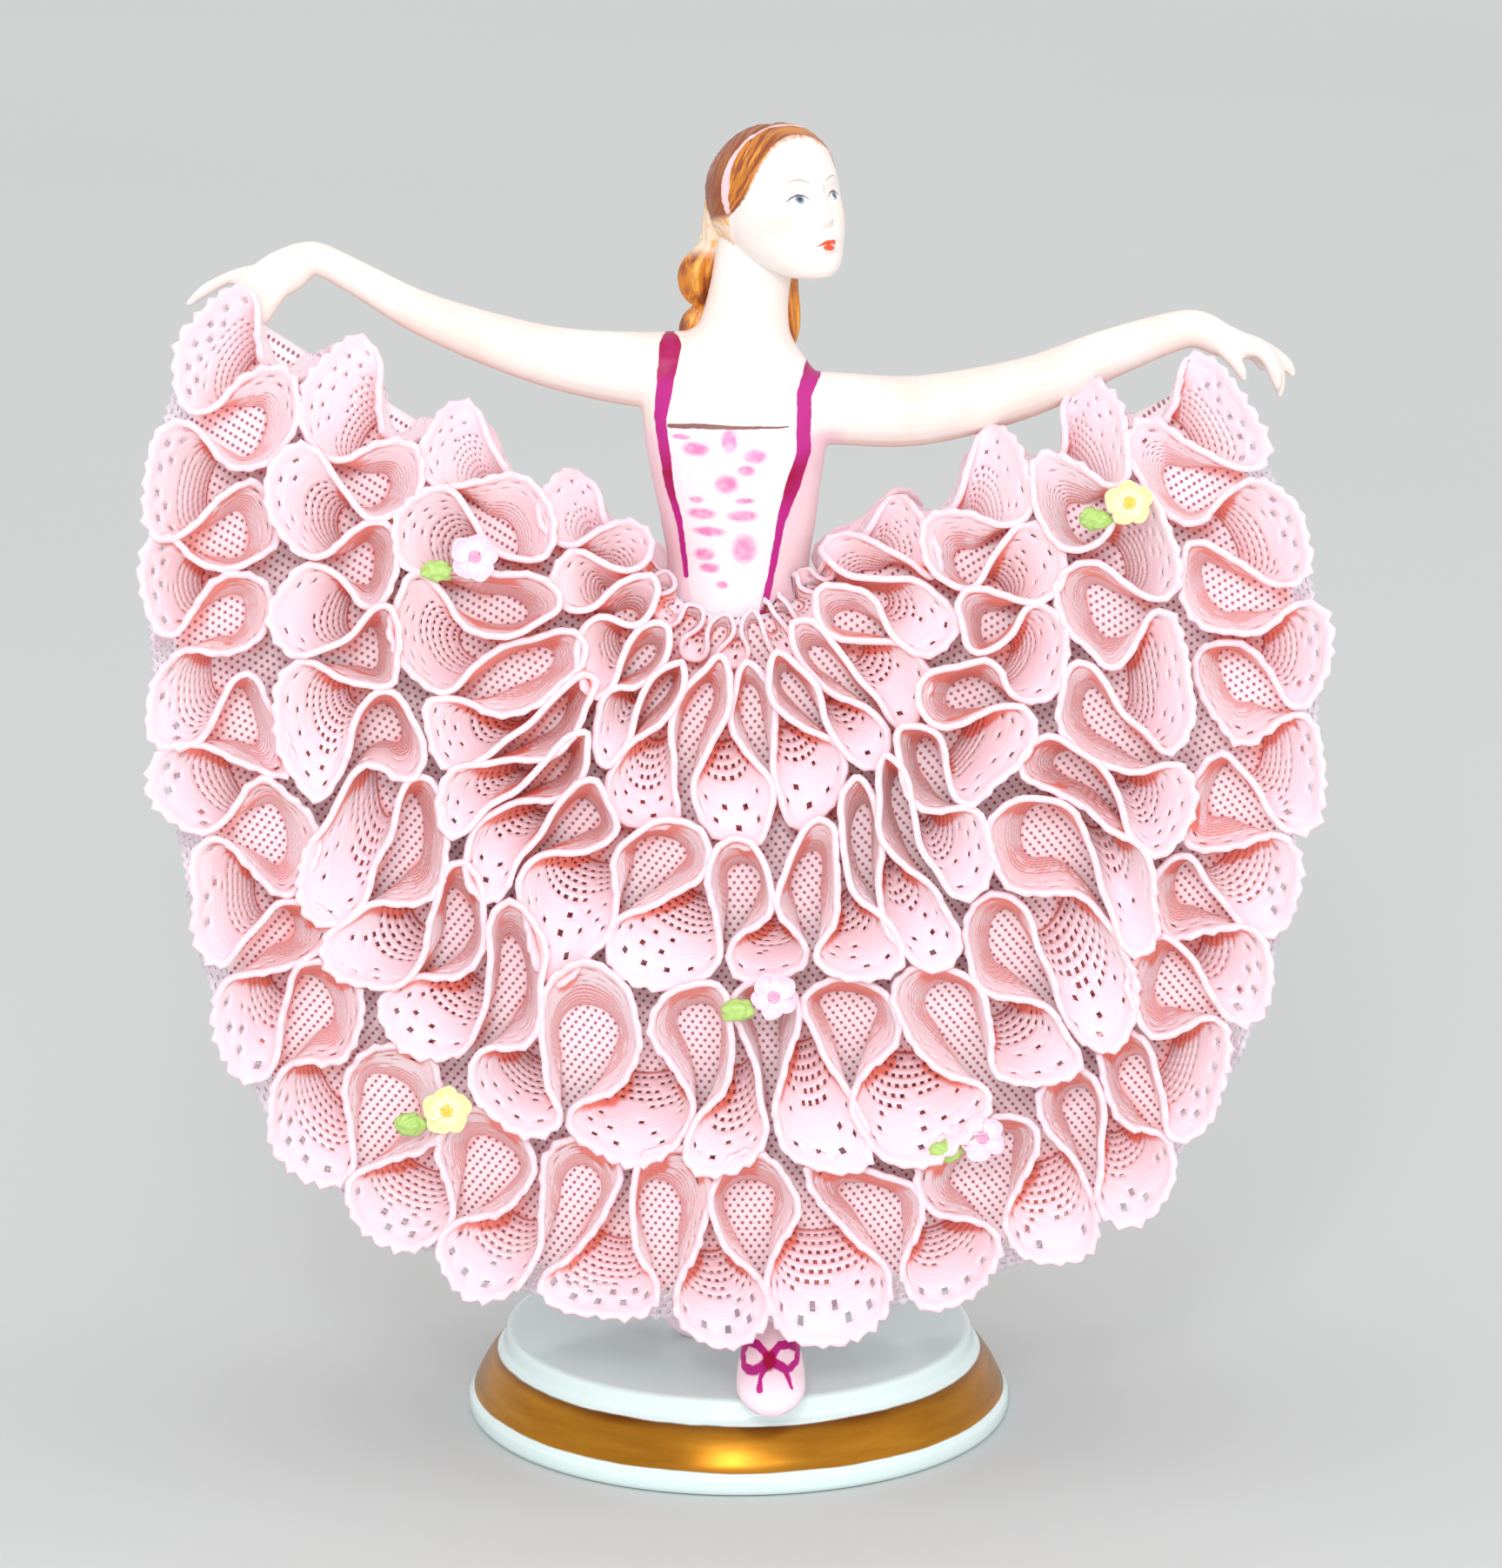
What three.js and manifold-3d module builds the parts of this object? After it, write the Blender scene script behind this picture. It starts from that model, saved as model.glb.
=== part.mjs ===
// A porcelain dancer in a ruffled lace crinoline, on a round base with a gilt band.
// Millimetres, +Z up. The origin is the centre of the base's underside. She faces -Y,
// holds her skirt out to both sides, and her right hand is on the -X side.

import * as THREE from 'three';
import { mergeVertices } from 'three/addons/utils/BufferGeometryUtils.js';
import Module from 'manifold-3d';

const wasm = await Module();
wasm.setup();

// Base
const baseRadius = 37.6;
const footHeight = 3;
const footRounding = 1;
const giltRise = 5.8;
const giltRun = 3.4;
const giltBulge = 0.3;
const ledgeWidth = 0.6;
const platformRise = 3.2;
const platformRounding = 0.8;
const baseSides = 32;

// Dancer, from the soles of her shoes to the crown of her head
const dancerHeight = 168.3;
const headTurn = 38;
const headLift = 14;

// Skirt of plain net
const clothGap = 0.3;
const netThickness = 0.8;
const hemClearance = 9.6;
const frontDepth = 27;
const backDepth = 24;
const sideReach = 77.5;
const waistDip = 4.5;
const waistEase = 0.4;
const bellPower = 0.85;
const dipPower = 1.5;

// Degrees from straight down, as seen from the front: from the first to the second the hem's
// reach eases from its drop in front to sideReach, and from the third to the fourth to the hand
const hemAngles = [31, 79, 85, 118];
const skirtColumns = 48;
const skirtRows = 3;

// Ruffles of lace
const laceThickness = 0.8;
const rootBand = 0.32;
const rootLoop = 0.3;
const rootPlace = 0.3;
const foldEase = 0.4;
const foldDrop = 0.2;
const foldPower = 12;
const unevenHeight = 0.14;
const unevenWidth = 0.14;
const heightPace = 2.3;
const widthPace = 1.7;
const tierShift = 3;
const frontColumns = 8;
const backColumns = 6;

// inner and outer: where the free edge swings to, as shares from the waist to the hem.
// bend: how far the edge doubles back, in radians. sweep: how far the ruffle goes to each side.
const frontTiers = [
  { waves: 8, inner: 0.01, outer: 0.065, height: 3.6, bend: 1.8, sweep: 78 },
  { waves: 13, inner: 0.083, outer: 0.265, height: 8.5, bend: 1.92, sweep: 87 },
  { waves: 18, inner: 0.285, outer: 0.54, height: 10.5, bend: 1.98, sweep: 87 },
  { waves: 22, inner: 0.562, outer: 0.768, height: 10.5, bend: 1.98, sweep: 86 },
  { waves: 27, inner: 0.79, outer: 1.03, height: 9.5, bend: 1.98, sweep: 80 },
];
const backTiers = [
  { waves: 6, inner: 0.05, outer: 0.24, height: 6.5, bend: 1.9, sweep: 84 },
  { waves: 8, inner: 0.27, outer: 0.49, height: 8, bend: 1.9, sweep: 84 },
  { waves: 10, inner: 0.52, outer: 0.74, height: 8.5, bend: 1.9, sweep: 84 },
  { waves: 12, inner: 0.77, outer: 1.01, height: 8, bend: 1.85, sweep: 80 },
];

// Applied flowers, each with one leaf. tier counts the front ruffles from the waist, and place
// the waves along that ruffle's free edge from her right.
const flowerRadius = 3.6;
const flowerDepth = 1.9;
const flowerSeat = 0.9;
const petalNotch = 0.2;
const bossRadius = 0.8;
const leafLength = 4.2;
const leafWidth = 3;
const leafDepth = 0.9;
const pink = 0xf7d3e6;
const yellow = 0xf6f3b4;
const flowers = [
  { tier: 3, place: 1.75, petals: pink },
  { tier: 4, place: 20.625, petals: yellow },
  { tier: 3, place: 9.5, petals: pink },
  { tier: 5, place: 10, petals: yellow },
  { tier: 5, place: 17, petals: pink },
];

const baseHeight = footHeight + giltRise + platformRise;
const share = dancerHeight / 1000;
const degree = Math.PI / 180;

const porcelain = new THREE.MeshStandardMaterial({ color: 0xf4f4f0, roughness: 0.15 });
const bisque = new THREE.MeshStandardMaterial({ color: 0xf8ece4, roughness: 0.25 });
const net = new THREE.MeshStandardMaterial({ color: 0xe9dfe6, roughness: 0.4 });
const lace = new THREE.MeshStandardMaterial({ color: 0xf3b7c0, roughness: 0.4 });
const leafGreen = new THREE.MeshStandardMaterial({ color: 0x9bc966, roughness: 0.3 });

const object = new THREE.Group();

function addPiece(name, geometry, material) {
  const piece = new THREE.Mesh(geometry, material.clone());
  piece.name = name;
  object.add(piece);
}

// A closed body from its corners and triangles, turned so that its faces point outwards
function closedBody(corners, triangles) {
  let volume = 0;
  for (const [a, b, c] of triangles) {
    volume += corners[a].dot(new THREE.Vector3().crossVectors(corners[b], corners[c]));
  }
  const faces = volume < 0 ? triangles.map(([a, b, c]) => [a, c, b]) : triangles;
  const geometry = new THREE.BufferGeometry().setFromPoints(corners);
  geometry.setIndex(faces.flat());
  geometry.computeVertexNormals();
  return geometry;
}

// A skin over a row of rings that all have the same number of corners
function skinRings(rings) {
  const sides = rings[0].length;
  const corners = rings.flat();
  const triangles = [];
  for (let row = 0; row + 1 < rings.length; row += 1) {
    for (let side = 0; side < sides; side += 1) {
      const next = (side + 1) % sides;
      const low = row * sides;
      const high = low + sides;
      triangles.push([low + side, low + next, high + next]);
      triangles.push([low + side, high + next, high + side]);
    }
  }
  for (const [row, order] of [[0, -1], [rings.length - 1, 1]]) {
    const centre = new THREE.Vector3();
    rings[row].forEach((corner) => centre.addScaledVector(corner, 1 / sides));
    corners.push(centre);
    for (let side = 0; side < sides; side += 1) {
      const next = (side + 1) % sides;
      const pair = [row * sides + side, row * sides + next];
      triangles.push([...(order > 0 ? pair : pair.reverse()), corners.length - 1]);
    }
  }
  return closedBody(corners, triangles);
}

function toSolid(geometry) {
  const bare = geometry.clone();
  bare.deleteAttribute('normal');
  bare.deleteAttribute('uv');
  const merged = mergeVertices(bare, 1e-4);
  const vertProperties = new Float32Array(merged.attributes.position.array);
  const triVerts = new Uint32Array(merged.index.array);
  return new wasm.Manifold(new wasm.Mesh({ numProp: 3, vertProperties, triVerts }));
}

function joinSolids(geometries) {
  const solid = geometries.map(toSolid).reduce((whole, next) => whole.add(next));
  const { vertProperties, triVerts } = solid.getMesh();
  const geometry = new THREE.BufferGeometry();
  geometry.setAttribute('position', new THREE.BufferAttribute(vertProperties, 3));
  geometry.setIndex(new THREE.BufferAttribute(triVerts, 1));
  geometry.computeVertexNormals();
  return geometry;
}

// The base: a white foot, a sloping gilt band, and the platform that she stands on
function baseProfile() {
  const giltTop = footHeight + giltRise;
  const giltRadius = baseRadius - ledgeWidth - giltRun;
  const platformRadius = giltRadius - ledgeWidth;
  const profile = [[0, 0], [baseRadius - footRounding, 0]];
  for (const turn of [-45, 0]) {
    const out = footRounding * (1 - Math.cos(turn * degree));
    profile.push([baseRadius - out, footRounding * (1 + Math.sin(turn * degree))]);
  }
  profile.push([baseRadius, footHeight - ledgeWidth / 2], [baseRadius - ledgeWidth, footHeight]);
  profile.push([giltRadius + giltRun / 2 + giltBulge, footHeight + giltRise / 2]);
  profile.push([giltRadius, giltTop]);
  profile.push([platformRadius, giltTop + ledgeWidth / 2]);
  for (const turn of [0, 90]) {
    const out = platformRounding * (Math.cos(turn * degree) - 1);
    const up = platformRounding * (Math.sin(turn * degree) - 1);
    profile.push([platformRadius - ledgeWidth + out, baseHeight + up]);
  }
  profile.push([0, baseHeight]);
  return profile.map(([radius, height]) => new THREE.Vector2(radius, height));
}

addPiece('base', new THREE.LatheGeometry(baseProfile(), baseSides).rotateX(90 * degree), porcelain);

// The dancer's own places and sizes are thousandths of her height: x to her left, y behind
// her and z above the soles
function bodyPoint(x, y, z) {
  return new THREE.Vector3(x * share, y * share, baseHeight + z * share);
}

// A limb through sections of x, y, z, half its thickness and half its depth front to back
function limb(sections, sides) {
  const centres = sections.map(([x, y, z]) => bodyPoint(x, y, z));
  const rings = sections.map(([, , , half, halfDepth = half], index) => {
    const before = centres[Math.max(index - 1, 0)];
    const after = centres[Math.min(index + 1, centres.length - 1)];
    const along = after.clone().sub(before).normalize();
    const depthward = new THREE.Vector3(0, 1, 0).addScaledVector(along, -along.y).normalize();
    const across = new THREE.Vector3().crossVectors(depthward, along);
    return ringPoints(sides, centres[index], across, depthward, half * share, halfDepth * share);
  });
  return skinRings(rings);
}

function ringPoints(sides, centre, across, depthward, half, halfDepth) {
  return Array.from({ length: sides }, (_, side) => {
    const turn = (side + 0.5) * 360 * degree / sides;
    return centre.clone()
      .addScaledVector(across, half * Math.cos(turn))
      .addScaledVector(depthward, halfDepth * Math.sin(turn));
  });
}

// A trunk of level sections of z, x, y, half its width, half its depth and its tilt
function trunk(sections, sides) {
  const depthward = new THREE.Vector3(0, 1, 0);
  const rings = sections.map(([z, x, y, half, halfDepth, tilt = 0]) => {
    const across = new THREE.Vector3(Math.cos(tilt * degree), 0, Math.sin(tilt * degree));
    return ringPoints(sides, bodyPoint(x, y, z), across, depthward, half * share, halfDepth * share);
  });
  return skinRings(rings);
}

function ball(x, y, z, half, halfDepth, halfHeight) {
  const centre = bodyPoint(x, y, z);
  return new THREE.SphereGeometry(1, 8, 6)
    .rotateX(90 * degree)
    .scale(half * share, halfDepth * share, halfHeight * share)
    .translate(centre.x, centre.y, centre.z);
}

const waist = { x: 0, z: 636, half: 57, halfDepth: 40 };
const neck = { x: 8, z: 846, half: 35, halfDepth: 30 };
const headPlace = { x: 31, y: -3, z: 930 };
const rightHold = { x: -413, z: 859 };
const leftHold = { x: 378, z: 796 };
const rightGrip = bodyPoint(rightHold.x, 0, rightHold.z);
const leftGrip = bodyPoint(leftHold.x, 0, leftHold.z);

// The body's girth follows the waist's, and that of the shoulders' top and the throat the neck's.
// Hips hang from the waist, and the chest and throat keep their share of the way up.
function torso() {
  const rise = neck.z - waist.z;
  const hips = [[-196, 0.7, 0.85], [-161, 1.16, 1.12], [-113, 1.26, 1.25], [-54, 1.14, 1.12]];
  const chest = [
    [0, 0, 0, 1, 1], [0.195, 0, -3, 1.09, 1.08], [0.395, -2, -7, 1.21, 1.22, -3],
    [0.538, -3, -9, 1.3, 1.3, -7], [0.662, -2, -5, 1.35, 1.18, -11], [0.776, 0, 0, 1.33, 0.98, -13],
  ];
  const shoulders = [[-31, -5, 3, 1.66, 1.07, -12], [-16, -2, 4, 1.2, 0.97, -8], [0, 0, 4, 1, 0.97, -3]];
  const throat = [[0.31, 5, 0.94, 1], [0.7, 8, 0.94, 1.07]];
  return trunk([
    ...hips.map(([down, wide, deep]) => (
      [waist.z + down, waist.x, 0, wide * waist.half, deep * waist.halfDepth]
    )),
    ...chest.map(([way, x, y, wide, deep, tilt]) => (
      [waist.z + way * rise, waist.x + x, y, wide * waist.half, deep * waist.halfDepth, tilt]
    )),
    ...shoulders.map(([up, x, y, wide, deep, tilt]) => (
      [neck.z + up, neck.x + x, y, wide * neck.half, deep * neck.halfDepth, tilt]
    )),
    ...throat.map(([way, y, wide, deep]) => [
      neck.z + way * (headPlace.z - neck.z),
      neck.x + way * (headPlace.x - neck.x) * 0.5,
      y,
      wide * neck.half,
      deep * neck.halfDepth,
    ]),
  ], 12);
}

// Head in its own frame, chin to crown, then turned to her left and lifted
function head() {
  const skull = trunk([
    [-60, 0, -37, 13, 12], [-50, 0, -27, 26, 29], [-32, 0, -13, 36, 45], [-10, 0, -5, 43, 53],
    [15, 0, 1, 46, 57], [38, 0, 3, 43, 54], [54, 0, 3, 32, 41], [63, 0, 3, 14, 18],
  ], 11);
  const nose = limb([[0, -57, 8, 4, 4], [0, -62, -10, 6, 6], [0, -56, -18, 5, 4]], 5);
  const hair = trunk([
    [-38, 0, 27, 30, 24], [-22, 0, 21, 44, 36], [5, 0, 17, 50, 46], [30, 0, 13, 49, 50],
    [50, 0, 9, 40, 44], [62, 0, 6, 27, 32], [69, 0, 4, 10, 14],
  ], 11);
  const sole = bodyPoint(0, 0, 0);
  const place = bodyPoint(headPlace.x, headPlace.y, headPlace.z);
  return [skull, nose, hair].map((shape) => shape
    .translate(-sole.x, -sole.y, -sole.z)
    .rotateX(-headLift * degree)
    .rotateZ(headTurn * degree)
    .translate(place.x, place.y, place.z));
}

// A roll of hair and two curls, which hang from the head
function hairAtNape() {
  const fromHead = ([x, y, z, half, halfDepth]) => (
    [headPlace.x + x, headPlace.y + y, headPlace.z + z, half, halfDepth]
  );
  const roll = [
    [-33, 35, -22, 34, 16], [-31, 39, -62, 38, 15], [-27, 37, -104, 32, 12], [-27, 34, -118, 20, 7],
  ];
  return [
    limb(roll.map(fromHead), 7),
    ball(...fromHead([-68, 24, -64, 17, 14]), 19),
    ball(...fromHead([-67, 27, -102, 12, 11]), 16),
  ];
}

function rightArm() {
  const armAndPalm = [
    [-40, 0, 802, 30], [-80, 0, 801, 30], [-143, -2, 810, 25], [-200, -4, 827, 21],
    [-255, -6, 849, 17], [-297, -8, 873, 14], [-330, -11, 891, 13], [-343, -12, 892, 14],
    [-356, -13, 884, 16, 11], [-371, -15, 872, 18, 9], [-380, -16, 864, 14, 7],
  ];
  const littleFinger = [
    [-372, -12, 882, 8, 6], [-404, -12, 874, 7, 6], [-421, -12, 864, 6, 5], [-429, -12, 857, 3],
  ];
  const gripping = [[-370, -16, 868, 9, 6], [-369, -17, 850, 7, 5], [-369, -17, 845, 3, 3]];
  return [limb(armAndPalm, 8), limb(littleFinger, 5), limb(gripping, 5)];
}

function leftArm() {
  const armAndPalm = [
    [40, 0, 771, 30], [80, 0, 769, 29], [146, -2, 768, 28], [230, -4, 787, 24],
    [291, -6, 813, 20], [345, -10, 833, 16], [366, -11, 836, 16], [384, -12, 832, 15, 13],
    [402, -13, 825, 13, 11], [411, -13, 819, 8, 7],
  ];
  const thumb = [[378, -19, 826, 8, 7], [391, -23, 812, 7, 6], [397, -24, 801, 3, 3]];
  const index = [[402, -17, 825, 8, 7], [419, -18, 806, 7, 6], [425, -18, 787, 3, 3]];
  const middle = [[404, -6, 826, 8, 7], [428, -6, 812, 6, 6], [437, -6, 797, 3, 3]];
  const fourth = [[400, 4, 822, 8, 6], [415, 5, 806, 5, 5], [417, 5, 799, 3, 3]];
  return [limb(armAndPalm, 8), ...[thumb, index, middle, fourth].map((finger) => limb(finger, 5))];
}

// Legs under the skirt, and slippers that rest just clear of the platform
function legs() {
  const soleGap = clothGap / share;
  const hipHeight = waist.z - 136;
  const standing = limb([
    [-27, 0, hipHeight, 39], [-31, 0, 404, 38], [-32, 6, 261, 27], [-33, 20, 166, 26],
    [-34, 32, 56, 15], [-34, 32, 20 + soleGap, 15],
  ], 7);
  const forward = limb([
    [30, 0, hipHeight, 39], [31, -30, 404, 38], [30, -72, 267, 27], [27, -76, 178, 26],
    [25, -80, 82, 16], [25, -84, 48, 17],
  ], 7);
  return [standing, forward, slipper(-34, 52, -44, 14, soleGap), slipper(25, -74, -214, 44, soleGap)];
}

// A slipper from heel to toe, whose heel may be raised
function slipper(x, heel, toe, heelRise, soleGap) {
  const stations = [
    [0, 10, 12, 16], [0.12, 16, 17, 20], [0.42, 19, 20, 22], [0.68, 26, 15, 16],
    [0.88, 24, 11, 11.5], [1, 11, 6, 6.5],
  ];
  const rings = stations.map(([way, half, halfHeight, lift]) => {
    const raised = heelRise * Math.max(0, 1 - way / 0.75);
    const centre = bodyPoint(x, heel + (toe - heel) * way, lift + raised + soleGap);
    const across = new THREE.Vector3(1, 0, 0);
    const upward = new THREE.Vector3(0, 0, 1);
    return ringPoints(8, centre, across, upward, half * share, Math.min(halfHeight, lift) * share);
  });
  return skinRings(rings);
}

const dancer = [torso(), ...head(), ...hairAtNape(), ...rightArm(), ...leftArm(), ...legs()];
addPiece('dancer', joinSolids(dancer), bisque);

// The skirt is a flattened bell, open at the waist and at the hem. along goes from 0 at the
// waist to 1 at the hem. turn goes round her: 0 in front, 90 degrees at her left hand, 180 behind her.
const waistCentre = bodyPoint(waist.x, 0, waist.z);
const waistWidth = waist.half * share + clothGap + netThickness;
const waistDepth = waist.halfDepth * share + clothGap + netThickness + waistEase;
const hemDrop = waistCentre.z - baseHeight - hemClearance - waistDip;
const rightAngle = -handAngle(rightGrip);
const leftAngle = handAngle(leftGrip);
const middleAngle = (leftAngle + rightAngle) / 2;
const halfAngle = (leftAngle - rightAngle) / 2;

// A hand's angle from straight down, as seen from the front
function handAngle(grip) {
  return Math.atan2(Math.abs(grip.x - waistCentre.x), waistCentre.z - waistDip - grip.z);
}

function smoothStep(from, to, value) {
  const t = THREE.MathUtils.clamp((value - from) / (to - from), 0, 1);
  return t * t * (3 - 2 * t);
}

function hemReach(angle) {
  const grip = angle < 0 ? rightGrip : leftGrip;
  const gripReach = Math.hypot(grip.x - waistCentre.x, grip.z - waistCentre.z + waistDip);
  const [frontEnd, sideStart, sideEnd, handStart] = hemAngles;
  const down = 1 - smoothStep(frontEnd, sideStart, Math.abs(angle) / degree);
  const up = smoothStep(sideEnd, handStart, Math.abs(angle) / degree);
  return sideReach + (hemDrop - sideReach) * down + (gripReach - sideReach) * up;
}

function skirtPoint(along, turn) {
  const sideways = Math.sin(turn);
  const forwards = Math.cos(turn);
  const angle = middleAngle + halfAngle * sideways;
  const reach = hemReach(angle);
  const waistHeight = waistCentre.z - waistDip * Math.abs(forwards) ** dipPower;
  const hemDepth = forwards > 0 ? frontDepth : backDepth;
  const bell = Math.max(along, 0) ** bellPower;
  const waistPlace = new THREE.Vector3(waistCentre.x + waistWidth * sideways, 0, waistHeight);
  const hemPlace = new THREE.Vector3(
    waistCentre.x + reach * Math.sin(angle),
    0,
    waistCentre.z - waistDip - reach * Math.cos(angle),
  );
  const place = waistPlace.lerp(hemPlace, along);
  place.y = -forwards * (waistDepth + (hemDepth - waistDepth) * bell);
  return place;
}

function skirtNormal(along, turn) {
  const step = 1e-3;
  const outward = skirtPoint(along + step, turn).sub(skirtPoint(Math.max(along - step, 0), turn));
  const round = skirtPoint(along, turn + step).sub(skirtPoint(along, turn - step));
  return outward.cross(round).normalize();
}

function aboveSkirt(along, turn, height) {
  return skirtPoint(along, turn).addScaledVector(skirtNormal(along, turn), height);
}

function underskirt() {
  const corners = [];
  const triangles = [];
  const column = 2 * (skirtRows + 1);
  for (let index = 0; index < skirtColumns; index += 1) {
    const turn = index * 360 * degree / skirtColumns;
    for (let row = 0; row <= skirtRows; row += 1) {
      corners.push(aboveSkirt(row / skirtRows, turn, 0));
    }
    for (let row = skirtRows; row >= 0; row -= 1) {
      corners.push(aboveSkirt(row / skirtRows, turn, -netThickness));
    }
    for (let side = 0; side < column; side += 1) {
      const here = index * column;
      const beside = ((index + 1) % skirtColumns) * column;
      const next = (side + 1) % column;
      triangles.push([here + side, beside + side, beside + next]);
      triangles.push([here + side, beside + next, here + next]);
    }
  }
  return closedBody(corners, triangles);
}

addPiece('underskirt', underskirt(), net);

// One wave of a free edge, which doubles back on itself in a fold at each end of its swing:
// along goes from 0 to 1, and across from -1 to 1 and back
function waveTable(bend, steps) {
  const table = [{ along: 0, across: 0 }];
  for (let step = 0; step < steps; step += 1) {
    const heading = bend * Math.sin(360 * degree * (step + 0.5) / steps);
    const last = table[step];
    table.push({ along: last.along + Math.cos(heading), across: last.across + Math.sin(heading) });
  }
  const { along: length } = table[steps];
  const height = table[steps / 2].across;
  return table.map(({ along, across }) => ({ along: along / length, across: 2 * across / height - 1 }));
}

// The turns that part one ruffle's sweep into equal lengths of skirt
function evenTurns(middleTurn, tier) {
  const steps = 240;
  const along = (tier.inner + tier.outer) / 2;
  const turns = [];
  const lengths = [];
  for (let i = 0; i <= steps; i += 1) {
    turns.push((middleTurn + tier.sweep * (2 * i / steps - 1)) * degree);
    const step = i && skirtPoint(along, turns[i]).distanceTo(skirtPoint(along, turns[i - 1]));
    lengths.push(i ? lengths[i - 1] + step : 0);
  }
  return (fraction) => {
    const target = fraction * lengths[steps];
    const reached = lengths.findIndex((length) => length >= target);
    const above = reached < 0 ? steps : Math.max(reached, 1);
    const part = (target - lengths[above - 1]) / (lengths[above] - lengths[above - 1]);
    return turns[above - 1] + (turns[above] - turns[above - 1]) * part;
  };
}

// Where a ruffle's free edge and its stuck edge run, at a place given in waves
function ruffleEdges(middleTurn, tier) {
  const width = tier.outer - tier.inner;
  const middle = (tier.inner + tier.outer) / 2;
  const root = tier.inner + rootPlace * width;
  const turnAt = evenTurns(middleTurn, tier);
  const steps = 240;
  const wave = waveTable(tier.bend, steps);
  return (place) => {
    const count = Math.floor(place);
    const { along, across } = wave[Math.round((place - count) * steps)];
    const inside = Math.sin(180 * degree * place / tier.waves);
    const drift = unevenWidth * Math.sin(widthPace * place + tierShift * tier.waves) * inside;
    const swing = 1 - unevenHeight * (1 + Math.sin(heightPace * place + tier.waves)) / 2;
    const rimTurn = turnAt((count + along + drift) / tier.waves);
    const rootTurn = turnAt((place + rootLoop * (count + along - place) + drift) / tier.waves);
    const nearSide = Math.abs(Math.sin(rimTurn)) ** foldPower;
    const lift = tier.height * (1 - foldDrop * nearSide);
    const gap = clothGap + foldEase * nearSide;
    return {
      rim: aboveSkirt(middle + width * swing * across / 2, rimTurn, lift),
      root: aboveSkirt(root + rootBand * width * across / 2, rootTurn, gap),
      normal: skirtNormal(middle, rimTurn),
    };
  };
}

// Half the lace's thickness at each point of the free edge, square to the edge and the wall
function rimOffsets(rims, roots) {
  return rims.map((point, index) => {
    const before = rims[Math.max(index - 1, 0)];
    const after = rims[Math.min(index + 1, rims.length - 1)];
    const wall = roots[index].clone().sub(point);
    const square = after.clone().sub(before).cross(wall).normalize();
    const leg = after.clone().sub(point).cross(wall).normalize();
    const corner = index + 1 < rims.length ? Math.max(Math.abs(square.dot(leg)), 0.7) : 1;
    return square.multiplyScalar(laceThickness / 2 / corner);
  });
}

// A gathered strip of lace: full thickness along its free edge, and pinched thin where it
// is stuck to the skirt
function ruffle(middleTurn, columnsPerWave, tier) {
  const edges = ruffleEdges(middleTurn, tier);
  const columns = tier.waves * columnsPerWave;
  const stations = Array.from({ length: columns + 1 }, (_, i) => edges(i / columnsPerWave));
  const rims = stations.map(({ rim }) => rim);
  const roots = stations.map(({ root }) => root);
  const offsets = rimOffsets(rims, roots);
  const corners = [];
  const triangles = [];
  for (let i = 0; i <= columns; i += 1) {
    corners.push(roots[i], rims[i].clone().add(offsets[i]), rims[i].clone().sub(offsets[i]));
    if (i < columns) {
      const [root, near, far] = [3 * i, 3 * i + 1, 3 * i + 2];
      triangles.push([root, root + 3, near + 3], [root, near + 3, near]);
      triangles.push([near, near + 3, far + 3], [near, far + 3, far]);
      triangles.push([root, far + 3, root + 3], [root, far, far + 3]);
    }
  }
  const last = 3 * columns;
  triangles.push([0, 1, 2], [last, last + 2, last + 1]);
  return closedBody(corners, triangles);
}

frontTiers.forEach((tier, index) => {
  addPiece(`ruffle_front_${index + 1}`, ruffle(0, index ? frontColumns : backColumns, tier), lace);
});
backTiers.forEach((tier, index) => {
  addPiece(`ruffle_back_${index + 1}`, ruffle(180, backColumns, tier), lace);
});

// A flower of five petals round a boss, with its back at z = 0
function flowerShape() {
  const sides = 10;
  const ring = (radius, height, notch) => Array.from({ length: sides }, (_, side) => {
    const turn = side * 360 * degree / sides;
    const reach = radius * (side % 2 ? 1 - notch : 1);
    return new THREE.Vector3(reach * Math.cos(turn), reach * Math.sin(turn), height);
  });
  return skinRings([
    ring(flowerRadius * 0.45, 0, 0), ring(flowerRadius, flowerDepth * 0.6, petalNotch),
    ring(bossRadius * 1.6, flowerDepth * 0.5, 0), ring(bossRadius, flowerDepth, 0),
  ]);
}

// A leaf along x with its stalk end at the origin and its back at z = 0
function leafShape() {
  const steps = 5;
  const widths = [0.16, 0.8, 1, 0.72, 0.12];
  const rings = widths.map((width, index) => {
    const x = leafLength * index / (steps - 1);
    const half = leafWidth * width / 2;
    const rib = leafDepth * (0.35 + 0.65 * width);
    const edge = leafDepth * 0.4;
    return [[0, 0], [half, edge], [0, rib], [-half, edge]].map(([y, z]) => new THREE.Vector3(x, y, z));
  });
  return skinRings(rings);
}

function placeFlower({ tier, place, petals }, index) {
  const { rim, normal } = ruffleEdges(0, frontTiers[tier - 1])(place);
  const seat = rim.clone().addScaledVector(normal, flowerSeat);
  const leafward = new THREE.Vector3(-1, 0, -0.45).projectOnPlane(normal).normalize();
  const across = normal.clone().cross(leafward);
  const frame = new THREE.Matrix4().makeBasis(leafward, across, normal).setPosition(seat);
  const glaze = new THREE.MeshStandardMaterial({ color: petals, roughness: 0.3 });
  addPiece(`flower_${index + 1}`, flowerShape().applyMatrix4(frame), glaze);
  const stalk = seat.clone().addScaledVector(leafward, flowerRadius * 0.85);
  frame.setPosition(stalk);
  addPiece(`leaf_${index + 1}`, leafShape().applyMatrix4(frame), leafGreen);
}

flowers.forEach(placeFlower);

export default object;
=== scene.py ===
import math
from functools import partialmethod

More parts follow.
